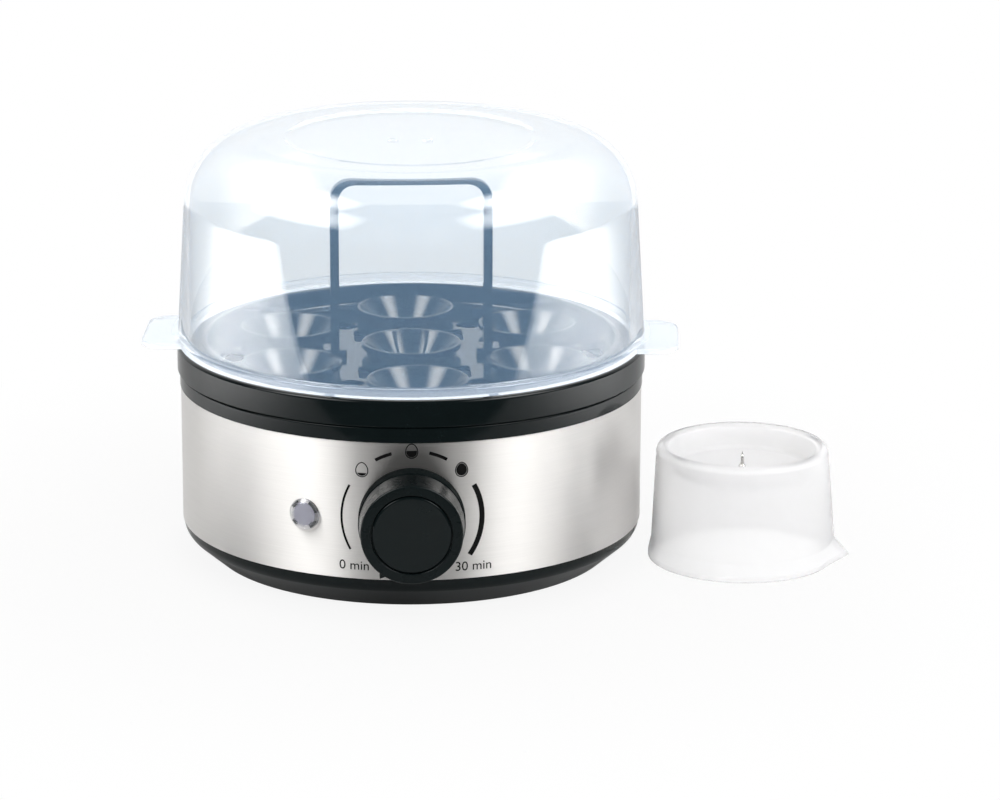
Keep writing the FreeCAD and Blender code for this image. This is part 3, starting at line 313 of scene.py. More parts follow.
def add_object(name, data):
    thing = bpy.data.objects.new(name, data)
    bpy.context.scene.collection.objects.link(thing)
    return thing


def add_mesh(name, bm):
    """Hand a bmesh over to a new object."""
    mesh = bpy.data.meshes.new(name)
    bm.to_mesh(mesh)
    bm.free()
    return add_object(name, mesh)


def combined(first, second, operation):
    """The union, difference or overlap of two closed meshes, as a new bmesh."""
    base, tool = (add_mesh("scratch", tidy(bm)) for bm in (first, second))
    change = base.modifiers.new("combine", "BOOLEAN")
    change.object = tool
    change.operation = operation
    change.solver = "EXACT"
    bpy.context.view_layer.update()
    result = base.evaluated_get(bpy.context.evaluated_depsgraph_get()).to_mesh()
    bm = bmesh.new()
    bm.from_mesh(result)
    for thing in (base, tool):
        mesh = thing.data
        bpy.data.objects.remove(thing)
        bpy.data.meshes.remove(mesh)
    return bm


def ease_edges(bm, width, sharper_than=60.0):
    """Round every edge that turns by more than an angle."""
    limit = math.radians(sharper_than)
    edges = [edge for edge in bm.edges if edge.is_manifold and edge.calc_face_angle() > limit]
    bmesh.ops.bevel(bm, geom=edges, offset=width, offset_type="OFFSET", segments=2, profile=0.5,
                    affect="EDGES", material=-1, clamp_overlap=True)


def place(bm, matrix):
    bmesh.ops.transform(bm, matrix=matrix, verts=bm.verts)


def onto_front(radius, height):
    """Carry a piece that was turned about Z to the front of the band, with its top outwards."""
    return Matrix.Translation((0.0, -radius, height)) @ Matrix.Rotation(QUARTER_TURN, 4, "X")


def add_piece(name, bm, body, material, stands_for=(), sharper_than=32.0):
    """Finish a mesh as a piece of the cooker that rides on a body."""
    piece = add_mesh(name, bm)
    piece.data.shade_smooth()
    piece.data.set_sharp_from_angle(angle=math.radians(sharper_than))
    piece.data.materials.append(material)
    even = piece.modifiers.new("even_shading", "WEIGHTED_NORMAL")
    even.keep_sharp = True
    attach(piece, body)
    if stands_for:
        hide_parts(*stands_for)
    return piece


# Finishes

# Noise stays near a half, so this much of its range is spread out.
NOISE_RANGE = (0.3, 0.7)
# Speeds of the noise on mouldings, per metre: handling marks, slow waves and fine grain.
MARK_SCALE, WAVE_SCALE, GRAIN_SCALE = 160.0, 45.0, 2600.0
GRAIN_SHARE = 0.02
STEEL_TINT = (0.62, 0.61, 0.59)
# Black mouldings: roughness where smooth and where worn, and gloss.
BLACKS = {
    "glossy_black": (0.05, 0.11, 0.2),
    "satin_black": (0.24, 0.32, 0.16),
    "dull_black": (0.6, 0.8, 0.03),
    "polished_black": (0.05, 0.11, 0.5),
}
# How much darker and lighter than its tint a moulding gets in its marks, and steel in its lines.
MOULDED_SPREAD, BRUSHED_SPREAD = 0.2, 0.1
# Clear plastic where it is thick: the height over which that sets in, how many times more haze it
# adds, how far this haze is paled, and the share of the light that is left.
THICK_FADE, THICK_HAZE, THICK_PALING, THICK_CLEAR = 0.001, 2.2, 0.5, 0.92
# Brushing strokes: how often they break off round the band, and their share of the line count.
STROKES = ((7.0, 1.0), (2.0, 0.23))


def socket_group(name, inputs, outputs):
    """An empty shader group of number sockets, and its input and output nodes."""
    group = bpy.data.node_groups.new(name, "ShaderNodeTree")
    for label, default in inputs:
        socket = group.interface.new_socket(label, in_out="INPUT", socket_type="NodeSocketFloat")
        socket.default_value = default
    for label in outputs:
        group.interface.new_socket(label, in_out="OUTPUT", socket_type="NodeSocketFloat")
    return group, group.nodes.new("NodeGroupInput"), group.nodes.new("NodeGroupOutput")


def join(tree, socket, value):
    """Set an input, or link it where the value is another node's output."""
    if isinstance(value, bpy.types.NodeSocket):
        tree.links.new(value, socket)
    else:
        socket.default_value = value


def feed(tree, node, **values):
    """Set or link a node's inputs by name."""
    for label, value in values.items():
        join(tree, node.inputs[label.replace("_", " ")], value)


def math_node(tree, operation, *values):
    node = tree.nodes.new("ShaderNodeMath")
    node.operation = operation
    for socket, value in zip(node.inputs, values):
        join(tree, socket, value)
    return node.outputs[0]


def noise_node(tree, vector, scale, detail):
    node = tree.nodes.new("ShaderNodeTexNoise")
    feed(tree, node, Vector=vector, Scale=scale, Detail=detail)
    return node.outputs["Fac"]


def map_range(tree, value, start, end, low=0.0, high=1.0, ease="LINEAR"):
    """Carry a value from the range start to end over to the range low to high."""
    node = tree.nodes.new("ShaderNodeMapRange")
    node.interpolation_type = ease
    feed(tree, node, Value=value, From_Min=start, From_Max=end, To_Min=low, To_Max=high)
    return node.outputs["Result"]


def object_place(tree):
    return tree.nodes.new("ShaderNodeTexCoord").outputs["Object"]


def split_vector(tree, vector):
    """The X, Y and Z of a vector."""
    node = tree.nodes.new("ShaderNodeSeparateXYZ")
    tree.links.new(vector, node.inputs[0])
    return node.outputs


def moulded_group():
    """Slow waviness, fine grain and handling marks of a moulded surface."""
    name = "moulded_surface"
    if name in bpy.data.node_groups:
        return bpy.data.node_groups[name]
    group, given, result = socket_group(
        name, [("Smooth Roughness", 0.1), ("Worn Roughness", 0.2)], ["Roughness", "Height", "Mark"])
    where = object_place(group)
    marks = noise_node(group, where, MARK_SCALE, 6.0)
    waves = noise_node(group, where, WAVE_SCALE, 1.0)
    grain = noise_node(group, where, GRAIN_SCALE, 2.0)
    rough = map_range(group, marks, *NOISE_RANGE, given.outputs["Smooth Roughness"],
                      given.outputs["Worn Roughness"])
    height = math_node(group, "ADD", waves, math_node(group, "MULTIPLY", grain, GRAIN_SHARE))
    feed(group, result, Roughness=rough, Height=height, Mark=marks)
    return group


def brushed_group():
    """Fine lines that run round the upright axis, as from a brushing belt on a turning sleeve."""
    name = "brushed_round"
    if name in bpy.data.node_groups:
        return bpy.data.node_groups[name]
    group, given, result = socket_group(name, [("Lines", 9000.0)], ["Tone"])
    where = split_vector(group, object_place(group))
    around = math_node(group, "ARCTAN2", where["Y"], where["X"])
    tones = []
    for along, across in STROKES:
        stroke = group.nodes.new("ShaderNodeCombineXYZ")
        up = math_node(group, "MULTIPLY", where["Z"], given.outputs["Lines"])
        feed(group, stroke, X=math_node(group, "MULTIPLY", around, along),
             Z=math_node(group, "MULTIPLY", up, across))
        tones.append(noise_node(group, stroke.outputs[0], 1.0, 3.0))
    feed(group, result, Tone=math_node(group, "MULTIPLY", math_node(group, "ADD", *tones), 0.5))
    return group


def new_material(name):
    """A material with a Principled shader; gives back the material, its tree and the shader."""
    material = bpy.data.materials.new(name)
    material.use_nodes = True
    tree = material.node_tree
    return material, tree, tree.nodes["Principled BSDF"]


def use_group(tree, group, **values):
    node = tree.nodes.new("ShaderNodeGroup")
    node.node_tree = group
    feed(tree, node, **values)
    return node.outputs


def add_bump(tree, shader, height, strength, distance):
    bump = tree.nodes.new("ShaderNodeBump")
    feed(tree, bump, Strength=strength, Distance=distance, Height=height)
    feed(tree, shader, Normal=bump.outputs["Normal"])


def mix_colours(tree, factor, first, second):
    """The first colour, or the second where the factor is 1; each a colour, a grey or an output."""
    node = tree.nodes.new("ShaderNodeMix")
    node.data_type = "RGBA"
    tree.links.new(factor, node.inputs["Factor"])
    for label, value in (("A", first), ("B", second)):
        if isinstance(value, float):
            value = (value, value, value)
        join(tree, node.inputs[label], (*value, 1.0) if isinstance(value, tuple) else value)
    return node.outputs["Result"]


def mix_shaders(tree, factor, first, second):
    """The first shader, or the second where the factor is 1."""
    node = tree.nodes.new("ShaderNodeMixShader")
    for socket, value in zip(node.inputs, (factor, first.outputs[0], second.outputs[0])):
        join(tree, socket, value)
    return node


def show(tree, shader):
    """Make a shader the material's surface."""
    feed(tree, tree.nodes["Material Output"], Surface=shader.outputs[0])


def shaded(tint, share):
    return tuple(channel * share for channel in tint)


def mottled(tree, factor, tint, spread):
    """A tint that runs from darker to lighter with a factor."""
    return mix_colours(tree, factor, shaded(tint, 1.0 - spread), shaded(tint, 1.0 + spread))


def moulded(name, tint, smooth, worn, gloss=0.5, wave=0.00006):
    """Moulded plastic or rubber: nearly even colour, faint waviness and handling marks."""
    if name in bpy.data.materials:
        return bpy.data.materials[name]
    material, tree, shader = new_material(name)
    surface = use_group(tree, moulded_group(), Smooth_Roughness=smooth, Worn_Roughness=worn)
    tone = mottled(tree, surface["Mark"], tint, MOULDED_SPREAD)
    feed(tree, shader, Base_Color=tone, Roughness=surface["Roughness"], Specular_IOR_Level=gloss)
    add_bump(tree, shader, surface["Height"], 0.25, wave)
    return material


def black(name):
    return moulded(name, tuple(bpy.context.scene.cooker_finish.black), *BLACKS[name])


def add_black(name, bm, body, finish, node):
    """A piece of black plastic in one of its finishes."""
    add_piece(name, bm, body, black(finish), [node])


def dial_ink():
    return moulded("dial_ink", tuple(bpy.context.scene.cooker_finish.ink), 0.35, 0.5, 0.1)


def soft_rubber():
    return moulded("soft_rubber", (0.018, 0.018, 0.018), 0.55, 0.75)


def metal(name, tint, smooth, worn):
    """Plain drawn or plated metal."""
    material = moulded(name, tint, smooth, worn, wave=0.00002)
    material.node_tree.nodes["Principled BSDF"].inputs["Metallic"].default_value = 1.0
    return material


def brushed_steel():
    """Stainless sheet with brushing lines round the axis, which draw reflections out upwards."""
    material, tree, shader = new_material("brushed_band")
    tint = tuple(bpy.context.scene.cooker_finish.steel)
    lines = use_group(tree, brushed_group())["Tone"]
    grain = tree.nodes.new("ShaderNodeTangent")
    grain.direction_type = "UV_MAP"
    grain.uv_map = BRUSHING
    feed(tree, shader, Base_Color=mottled(tree, lines, tint, BRUSHED_SPREAD),
         Roughness=map_range(tree, lines, *NOISE_RANGE, 0.36, 0.44), Metallic=1.0, Anisotropic=1.0,
         Tangent=grain.outputs[0])
    add_bump(tree, shader, lines, 0.12, 0.00002)
    return material


def clear_plastic(name, clear, haze, haze_share, rough, bend, coat=1.0, thick_below=None):
    """Clear moulding that scatters a share of the light, and more of it where it is thick."""
    material, tree, shader = new_material(name)
    surface = use_group(tree, moulded_group(), Smooth_Roughness=rough[0], Worn_Roughness=rough[1])
    feed(tree, shader, Base_Color=(*clear, 1.0), Roughness=surface["Roughness"],
         Transmission_Weight=1.0, IOR=bend, Coat_Weight=coat, Coat_IOR=1.6)
    add_bump(tree, shader, surface["Height"], 0.05, 0.00002)
    milk = tree.nodes.new("ShaderNodeBsdfPrincipled")
    feed(tree, milk, Base_Color=(*haze, 1.0), Roughness=0.6, Specular_IOR_Level=0.0)
    share = haze_share
    if thick_below:
        height = split_vector(tree, object_place(tree))["Z"]
        thick = map_range(tree, height, thick_below - THICK_FADE, thick_below, 1.0, 0.0)
        share = math_node(tree, "MULTIPLY_ADD", thick, haze_share * THICK_HAZE, haze_share)
        pale = tuple(THICK_PALING + (1.0 - THICK_PALING) * channel for channel in haze)
        dim = shaded(clear, THICK_CLEAR)
        feed(tree, milk, Base_Color=mix_colours(tree, thick, haze, pale))
        feed(tree, shader, Base_Color=mix_colours(tree, thick, clear, dim))
    show(tree, mix_shaders(tree, share, shader, milk))
    return material


def lid_plastic():
    finish = bpy.context.scene.cooker_finish
    flange = LID_LOW.z + bpy.context.scene.cooker_lid.flange_height
    return clear_plastic("lid_plastic", tuple(finish.clear), tuple(finish.haze), 0.085,
                         (0.01, 0.03), 1.07, thick_below=flange)


def cup_plastic():
    return clear_plastic("cup_plastic", (0.99, 0.985, 0.98), (0.96, 0.962, 0.98), 0.26,
                         (0.12, 0.22), 1.25, coat=0.0)


def lens_plastic():
    return clear_plastic("lens_plastic", (0.96, 0.96, 0.97), (0.8, 0.82, 0.85), 0.08,
                         (0.02, 0.05), 1.46)


# Pieces

def tongue_radius(body):
    """Outside of the tongues with which pan and collar reach into the band."""
    return body.band_radius - body.band_wall - SLIP


class COOKER_OT_lower_shell(bpy.types.Operator):
    """Black pan with its tapered skirt and floor vents, and the feet under it"""
    bl_idname = "cooker.lower_shell"
    bl_label = "Lower shell"

    def execute(self, context):
        body = context.scene.cooker_body
        foot, seam, top, wall = PAN_LOW.z, BAND_LOW.z, PAN_HIGH.z, body.shell_wall
        tongue = tongue_radius(body)
        shell = turned([
            (0.0, foot), (body.skirt_foot, foot, 0.0012),
            (body.crease_radius, body.crease_height, 0.005),
            (body.band_radius - EASE, seam, EASE), (tongue, seam), (tongue, top),
            (tongue - wall, top), (tongue - wall, body.crease_height),
            (body.skirt_foot - wall, foot + wall), (0.0, foot + wall),
        ])
        vents = bmesh.new()
        near, far, half = 0.034, 0.052, 0.0016
        for turn in even_turns(12, 15.0):
            slab(vents, rectangle(near, far, half, half * 0.98), foot - wall, foot + wall * 2.0,
                 turn)
        shell = tidy(combined(shell, vents, "DIFFERENCE"))
        add_black("pan_shell", shell, "base", "glossy_black", "bottom_pan")
        feet = bmesh.new()
        foot_circle, radius, taper, seat = 0.060, 0.0062, 0.0008, foot - SLIP
        pad = [(0.0, 0.0), (radius - taper, 0.0, FINE_EDGE), (radius, seat, EASE), (0.0, seat)]
        for turn in even_turns(4, 45.0):
            turn_outline(feet, pad, SMALL_STEPS // 2, polar(foot_circle, turn))
        add_piece("foot_pads", tidy(feet), "base", soft_rubber(), ["rubber_feet"])
        return {"FINISHED"}


def unroll(bm):
    """Map a sleeve by height and turn, for brushing that runs round it."""
    layer = bm.loops.layers.uv.new(BRUSHING)
    for face in bm.faces:
        middle = face.calc_center_median()
        for loop in face.loops:
            turn = middle.to_2d().angle_signed(loop.vert.co.to_2d(), 0.0)
            loop[layer].uv = (loop.vert.co.z, math.atan2(middle.y, middle.x) - turn)


class COOKER_OT_steel_band(bpy.types.Operator):
    """Brushed sleeve round the base"""
    bl_idname = "cooker.steel_band"
    bl_label = "Steel band"

    def execute(self, context):
        body = context.scene.cooker_body
        outer, inner = body.band_radius, body.band_radius - body.band_wall
        low, high, edge = BAND_LOW.z, BAND_HIGH.z, body.band_wall * 0.4
        band = turned([(inner, low), (outer, low, edge), (outer, high, edge), (inner, high)],
                      LARGE_STEPS * 2)
        unroll(band)
        add_piece("band_sleeve", band, "base", brushed_steel(), ["steel_band"])
        return {"FINISHED"}


class COOKER_OT_collar(bpy.types.Operator):
    """Black collar on top of the band, with the ledge for the dish"""
    bl_idname = "cooker.collar"
    bl_label = "Collar"

    def execute(self, context):
        body = context.scene.cooker_body
        tongue, wall = tongue_radius(body), body.shell_wall
        top, seam, tongue_depth = COLLAR_HIGH.z, BAND_HIGH.z, 0.0065
        foot, under = seam - tongue_depth, body.ledge_height - wall
        collar = turned([
            (tongue - wall, foot), (tongue, foot), (tongue, seam),
            (body.collar_radius, seam, EASE), (body.collar_radius, top, SOFT_EDGE),
            (body.mouth_radius, top, FINE_EDGE), (body.mouth_radius, body.ledge_height),
            (body.ledge_radius, body.ledge_height, EASE), (body.ledge_radius, under),
            (body.mouth_radius + wall, under), (body.mouth_radius + wall, top - wall),
            (tongue - wall, top - wall),
        ])
        add_black("collar_ring", collar, "base", "glossy_black", "base_collar")
        return {"FINISHED"}


class COOKER_OT_water_dish(bpy.types.Operator):
    """Steel dish that holds the water"""
    bl_idname = "cooker.water_dish"
    bl_label = "Water dish"

    def execute(self, context):
        body = context.scene.cooker_body
        wall, rim, edge = body.dish_wall, DISH_HIGH.z, DISH_HIGH.y
        floor, floor_edge, brim = body.dish_floor, body.dish_floor_radius, body.dish_brim
        dish = turned([
            (0.0, floor - wall), (floor_edge, floor - wall, 0.005), (brim, rim - wall, 0.001),
            (edge, rim - wall), (edge, rim, EASE), (brim - wall / 2.0, rim, 0.0018),
            (floor_edge - wall / 2.0, floor, 0.0042), (0.0, floor),
        ])
        steel = metal("satin_steel", STEEL_TINT, 0.3, 0.34)
        add_piece("water_dish", dish, "base", steel, ["heating_plate"])
        return {"FINISHED"}


class COOKER_OT_knob(bpy.types.Operator):
    """Timer knob with its pointer and inset face"""
    bl_idname = "cooker.knob"
    bl_label = "Timer knob"

    def execute(self, context):
        dial = context.scene.cooker_dial
        front = context.scene.cooker_body.band_radius
        face = -KNOB_LOW.y - front
        wall, inset, gap = 0.002, 0.0016, 0.0004
        recess, skirt = face - inset, dial.knob_gap + dial.skirt_depth
        grip, back, disc_edge = dial.knob_front_radius, dial.knob_back_radius, dial.face_radius
        hollow, socket = grip - wall, disc_edge + gap
        knob = turned([
            (0.0, recess), (socket, recess), (socket, face, gap), (grip, face, dial.knob_edge),
            (dial.grip_back_radius, skirt), (hollow, skirt), (hollow, recess - wall),
            (0.0, recess - wall),
        ])
        pointer = bmesh.new()
        root, tip = grip - wall / 2.0, grip + 0.0018
        slab(pointer, [(root, -wall), (tip, 0.0, EASE), (root, wall)], face * 0.7,
             face - dial.knob_edge, dial.pointer_turn)
        knob = tidy(combined(knob, pointer, "UNION"))
        ring = turned([(hollow, skirt), (back, skirt - EASE, EASE), (back, dial.knob_gap, EASE),
                       (hollow, dial.knob_gap)])
        low, high = recess + SLIP, face - SLIP
        disc = turned([(0.0, low), (disc_edge, low), (disc_edge, high, 0.0008), (0.0, high)])
        for name, bm, finish, node in (("timer_knob", knob, "satin_black", "knob"),
                                       ("knob_skirt", ring, "dull_black", "knob"),
                                       ("knob_face", disc, "glossy_black", "knob_cap")):
            place(bm, onto_front(front, DIAL_HEIGHT))
            add_black(name, bm, "timer_drive", finish, node)
        return {"FINISHED"}


def lay_on_band(bm, radius):
    """Bend flat print in the XZ plane round the band, and give it the ink's thickness."""
    for vert in bm.verts:
        vert.co.y = -math.sqrt((radius + PRINT_LIFT) ** 2 - vert.co.x ** 2)
    push_out(bm, bm.faces[:], (0.0, -PRINT_DEPTH, 0.0))


def print_arc(bm, radius, width, start, end):
    """A printed stroke along the dial, between two angles in degrees."""
    ends = [bm.verts.new((radius + side * width / 2.0, 0.0, 0.0)) for side in BOTH_SIDES]
    edge = bm.edges.new(ends)
    swing(bm, ends, -math.radians(start), "Y")
    bmesh.ops.spin(bm, geom=[*ends, edge], cent=ORIGIN, axis=(0.0, -1.0, 0.0),
                   angle=math.radians(end - start), steps=max(4, round((end - start) / 3.0)))


def egg_face(bm, half_width, half_height):
    """A flat egg, blunt end down, in the XZ plane."""
    verts = bmesh.ops.create_circle(bm, cap_ends=True, radius=1.0, segments=40)["verts"]
    for vert in verts:
        across, up = vert.co.x, vert.co.y
        vert.co = (across * half_width * (1.0 - 0.13 * up), 0.0, up * half_height)
    bm.normal_update()
    return verts, list({face for vert in verts for face in vert.link_faces})


def print_egg(bm, turn, radius, level):
    """Egg sign: an outline, filled up to a level between 0 and 1."""
    half_width, half_height, line, filling = 0.0024, 0.0029, 0.00036, 0.80
    across, up = polar(radius, math.radians(turn))
    centre = Vector((across, 0.0, up))
    verts, faces = egg_face(bm, half_width, half_height)
    rim = bmesh.ops.inset_region(bm, faces=faces, thickness=line, use_boundary=True,
                                 use_even_offset=True)
    bmesh.ops.delete(bm, geom=faces, context="FACES_ONLY")
    ring = {vert for face in rim["faces"] for vert in face.verts}
    bmesh.ops.translate(bm, verts=list(ring.union(verts)), vec=centre)
    verts, faces = egg_face(bm, half_width * filling, half_height * filling)
    made = bmesh.ops.bisect_plane(
        bm, geom=verts + edges_of(verts) + faces, plane_no=UP, clear_outer=True,
        plane_co=UP * (half_height * filling * (2.0 * level - 1.0)))
    kept = {vert for vert in verts_in([*made["geom"], *made["geom_cut"]]) if vert.is_valid}
    bmesh.ops.translate(bm, verts=list(kept), vec=centre)


def print_words(bm, words, size, left, low):
    """Words in the plain built-in letters, in the XZ plane."""
    text = bpy.data.curves.new("words", "FONT")
    text.body = words
    text.size = size
    thing = add_object("words", text)
    bpy.context.view_layer.update()
    mesh = bpy.data.meshes.new_from_object(thing)
    mesh.transform(Matrix.Translation((left, 0.0, low)) @ Matrix.Rotation(QUARTER_TURN, 4, "X"))
    bm.from_mesh(mesh)
    bpy.data.objects.remove(thing)
    bpy.data.curves.remove(text)
    bpy.data.meshes.remove(mesh)


class COOKER_OT_dial_print(bpy.types.Operator):
    """Printed scale round the knob: egg signs, strokes and minutes"""
    bl_idname = "cooker.dial_print"
    bl_label = "Dial print"

    def execute(self, context):
        ring = context.scene.cooker_dial.print_radius
        thin, middling, thick = 0.0008, 0.0012, 0.0019
        ink = bmesh.new()
        for width, start, end in ((thin, 152.0, 209.0), (middling, 106.5, 121.0),
                                  (middling, 60.0, 75.5), (thick, -34.5, 28.0)):
            print_arc(ink, ring, width, start, end)
        for turn, level in ((135.0, 0.22), (90.0, 0.52), (45.0, 1.0)):
            print_egg(ink, turn, ring, level)
        bmesh.ops.translate(ink, verts=ink.verts, vec=UP * DIAL_HEIGHT)
        letter = 0.0050
        for words, left, low in (("0 min", -0.0270, 0.0191), ("30 min", 0.0159, 0.0187)):
            print_words(ink, words, letter, left, low)
        bmesh.ops.remove_doubles(ink, verts=ink.verts, dist=1e-6)
        lay_on_band(ink, context.scene.cooker_body.band_radius)
        bmesh.ops.recalc_face_normals(ink, faces=ink.faces)
        add_piece("dial_print", ink, "base", dial_ink())
        return {"FINISHED"}


class COOKER_OT_pilot_lamp(bpy.types.Operator):
    """Clear lamp lens with a bevelled rim and a cross-cut face, over a screen and dark pieces of
    painted shade
    """
    bl_idname = "cooker.pilot_lamp"
    bl_label = "Pilot lamp"

    def execute(self, context):
        dial = context.scene.cooker_dial
        outward = (Matrix.Rotation(-dial.lamp_turn, 4, "Z")
                   @ onto_front(context.scene.cooker_body.band_radius, dial.lamp_height))
        radius, barrel, face = dial.lens_radius, 0.0044, 0.0024
        rim, bevel, fine, inside = 0.0009, 0.0014, 0.0002, radius - 0.0017
        lens = turned([
            (0.0, -radius), (barrel, -radius), (barrel, SLIP), (radius, SLIP, EASE / 2.0),
            (radius, rim, fine), (radius - bevel, face, fine), (0.0, face),
        ], SMALL_STEPS)
        cuts = bmesh.new()
        pitch, count, deep = 0.00075, 12, 0.0006
        bmesh.ops.create_grid(cuts, x_segments=count, y_segments=count, size=pitch * count / 2.0)
        bmesh.ops.poke(cuts, faces=cuts.faces[:], offset=-pitch * 0.42, center_mode="MEAN")
        swing(cuts, cuts.verts, QUARTER_TURN / 2.0, "Z")
        push_out(cuts, cuts.faces[:], UP * 0.002)
        bmesh.ops.translate(cuts, verts=cuts.verts, vec=UP * face)
        limits = turned(rod(inside, face - deep, face + deep), SMALL_STEPS)
        lens = tidy(combined(lens, combined(cuts, limits, "INTERSECT"), "DIFFERENCE"))
        place(lens, outward)
        add_piece("pilot_lens", lens, "base", lens_plastic(), ["lamp_lens"],
                  sharper_than=20.0)
        low, high = 0.0005, 0.0009
        screen = turned(rod(inside, low, high), SMALL_STEPS)
        place(screen, outward)
        grey = moulded("lamp_grey", (0.34, 0.34, 0.42), 0.3, 0.5)
        add_piece("lamp_screen", screen, "base", grey)
        # Painted shade: four dark pieces under the lens bevel stand in for the shaded inside of the
        # lamp, which the bevel shows as dark patches.
        shade_patches = bmesh.new()
        far, half = radius - 0.0005, math.radians(19.0)
        for turn, width in ((40.0, 1.4), (135.0, 0.9), (222.0, 0.7), (318.0, 1.0)):
            corners = [polar(reach, half * width * side)
                       for reach, side in ((inside, -1.0), (far, -1.0), (far, 1.0), (inside, 1.0))]
            slab(shade_patches, corners, low, high, math.radians(turn))
        place(tidy(shade_patches), outward)
        add_piece("lamp_shade_patches", shade_patches, "base", black("dull_black"))
        return {"FINISHED"}


class COOKER_OT_cord_bushing(bpy.types.Operator):
    """Bushing at the rear of the band"""
    bl_idname = "cooker.cord_bushing"
    bl_label = "Cord bushing"

    def execute(self, context):
        band = context.scene.cooker_body.band_radius
        height = (GLAND_LOW.z + GLAND_HIGH.z) / 2.0
        flange = (GLAND_HIGH.z - GLAND_LOW.z) / 2.0
        proud, depth = GLAND_HIGH.y - band, GLAND_LOW.y - band
        bore, neck, barb = 0.0036, 0.0054, 0.0008
        bushing = turned([
            (bore, depth), (neck + barb, depth, EASE), (flange, depth / 2.0, EASE),
            (neck, depth / 2.0), (neck, SLIP), (flange, SLIP, EASE), (flange, proud, 0.0008),
            (bore, proud, 0.0006),
        ], SMALL_STEPS)
        at_rear = Matrix.Translation((0.0, band, height))
        place(bushing, at_rear @ Matrix.Rotation(-QUARTER_TURN, 4, "X"))
        add_piece("cord_bushing", bushing, "base", soft_rubber(), ["cord_gland"])
        return {"FINISHED"}


def cup_outside(tray):
    """Outline of an egg cup's outside: funnel under the plate, waist above it, and stepped rim."""
    wall, low, rim = tray.wall, TRAY_LOW.z, tray.cup_rim
    return [
        (0.0, low), (tray.cup_hole + wall, low, EASE),
        (tray.cup_mouth - wall / 2.0, tray.plate - wall),
        (tray.cup_mouth - wall / 4.0, rim - wall * 1.25),
        (tray.cup_rim_radius, rim - wall, EASE), (tray.cup_rim_radius, rim, EASE), (0.0, rim),
    ]


def cup_inside(tray):
    """Outline of what is taken out of a cup: a cone for the egg with a hole below it."""
    low, rim = TRAY_LOW.z, tray.cup_rim
    under, above = low - tray.wall, rim + tray.wall
    return [
        (0.0, under), (tray.cup_hole, under), (tray.cup_hole, low, 0.001),
        (tray.cup_mouth, rim, 0.0012), (tray.cup_mouth, above), (0.0, above),
    ]


def cup_places(tray):
    return [(0.0, 0.0)] + [polar(tray.cup_circle, turn) for turn in even_turns(6, 90.0)]


def steam_openings(bm, low, high):
    """Cutters for the openings between the cups and near the rim."""
    gap_circle, gap_reach, gap_round = 0.0312, 0.0115, 0.002
    points = [polar(gap_reach, turn) for turn in even_turns(3)]
    gap = [(gap_circle + outward, aside, gap_round) for outward, aside in points]
    for turn in (60.0, 120.0, 240.0, 300.0):
        slab(bm, gap, low, high, math.radians(turn))
    middle, half_long, half_wide = 0.0495, 0.0055, 0.0046
    oval = rectangle(middle - half_long, middle + half_long, half_wide, half_wide * 0.8)
    near, near_half, near_round = 0.059, 0.0026, 0.0018
    far, far_half, far_round = 0.0738, 0.0125, 0.0026
    wedge = [(near, -near_half, near_round), (far, -far_half, far_round),
             (far, far_half, far_round), (near, near_half, near_round)]
    for turn in even_turns(6):
        slab(bm, oval, low, high, turn)
        slab(bm, wedge, low, high, turn)


class COOKER_OT_egg_tray(bpy.types.Operator):
    """Black tray with seven conical cups and rings of steam openings"""
    bl_idname = "cooker.egg_tray"
    bl_label = "Egg tray"

    def execute(self, context):
        tray = context.scene.cooker_tray
        wall, low, top, lip = tray.wall, TRAY_LOW.z, TRAY_HIGH.z, tray.lip_radius
        inner, plate_foot = lip - wall, tray.plate - wall
        dished = turned([
            (0.0, plate_foot), (inner - wall, plate_foot), (inner - wall, low, EASE),
            (inner, low, EASE), (inner, plate_foot), (lip, plate_foot), (lip, top, 0.0007),
            (inner, top, FINE_EDGE), (inner, tray.plate, 0.0015), (0.0, tray.plate),
        ])
        funnels, hollows = bmesh.new(), bmesh.new()
        for centre in cup_places(tray):
            turn_outline(funnels, cup_outside(tray), CUP_STEPS, centre)
            turn_outline(hollows, cup_inside(tray), CUP_STEPS, centre)
        half_width, half_depth, height = tray.strap_width * 1.3, tray.strap_depth * 0.75, 0.003
        for side in BOTH_SIDES:
            post = side * tray.strap_post
            slab(funnels, rectangle(post - half_width, post + half_width, half_depth, 0.001),
                 plate_foot, tray.plate + height)
        steam_openings(hollows, low - wall, top + wall)
        moulding = tidy(combined(combined(dished, funnels, "UNION"), hollows, "DIFFERENCE"))
        place(moulding, Matrix.Rotation(tray.turn, 4, "Z"))
        add_black("tray_moulding", moulding, "tray_set", "polished_black", "egg_tray")
        outer, shelf, foot = tray.skirt_radius, tray.shelf, tray.skirt_foot
        skirt = turned([
            (lip, shelf - wall), (outer - wall, shelf - wall), (outer - wall, foot),
            (outer, foot, EASE), (outer, shelf, 0.0011), (lip, shelf),
        ])
        add_black("tray_skirt", skirt, "tray_set", "glossy_black", "egg_tray")
        return {"FINISHED"}


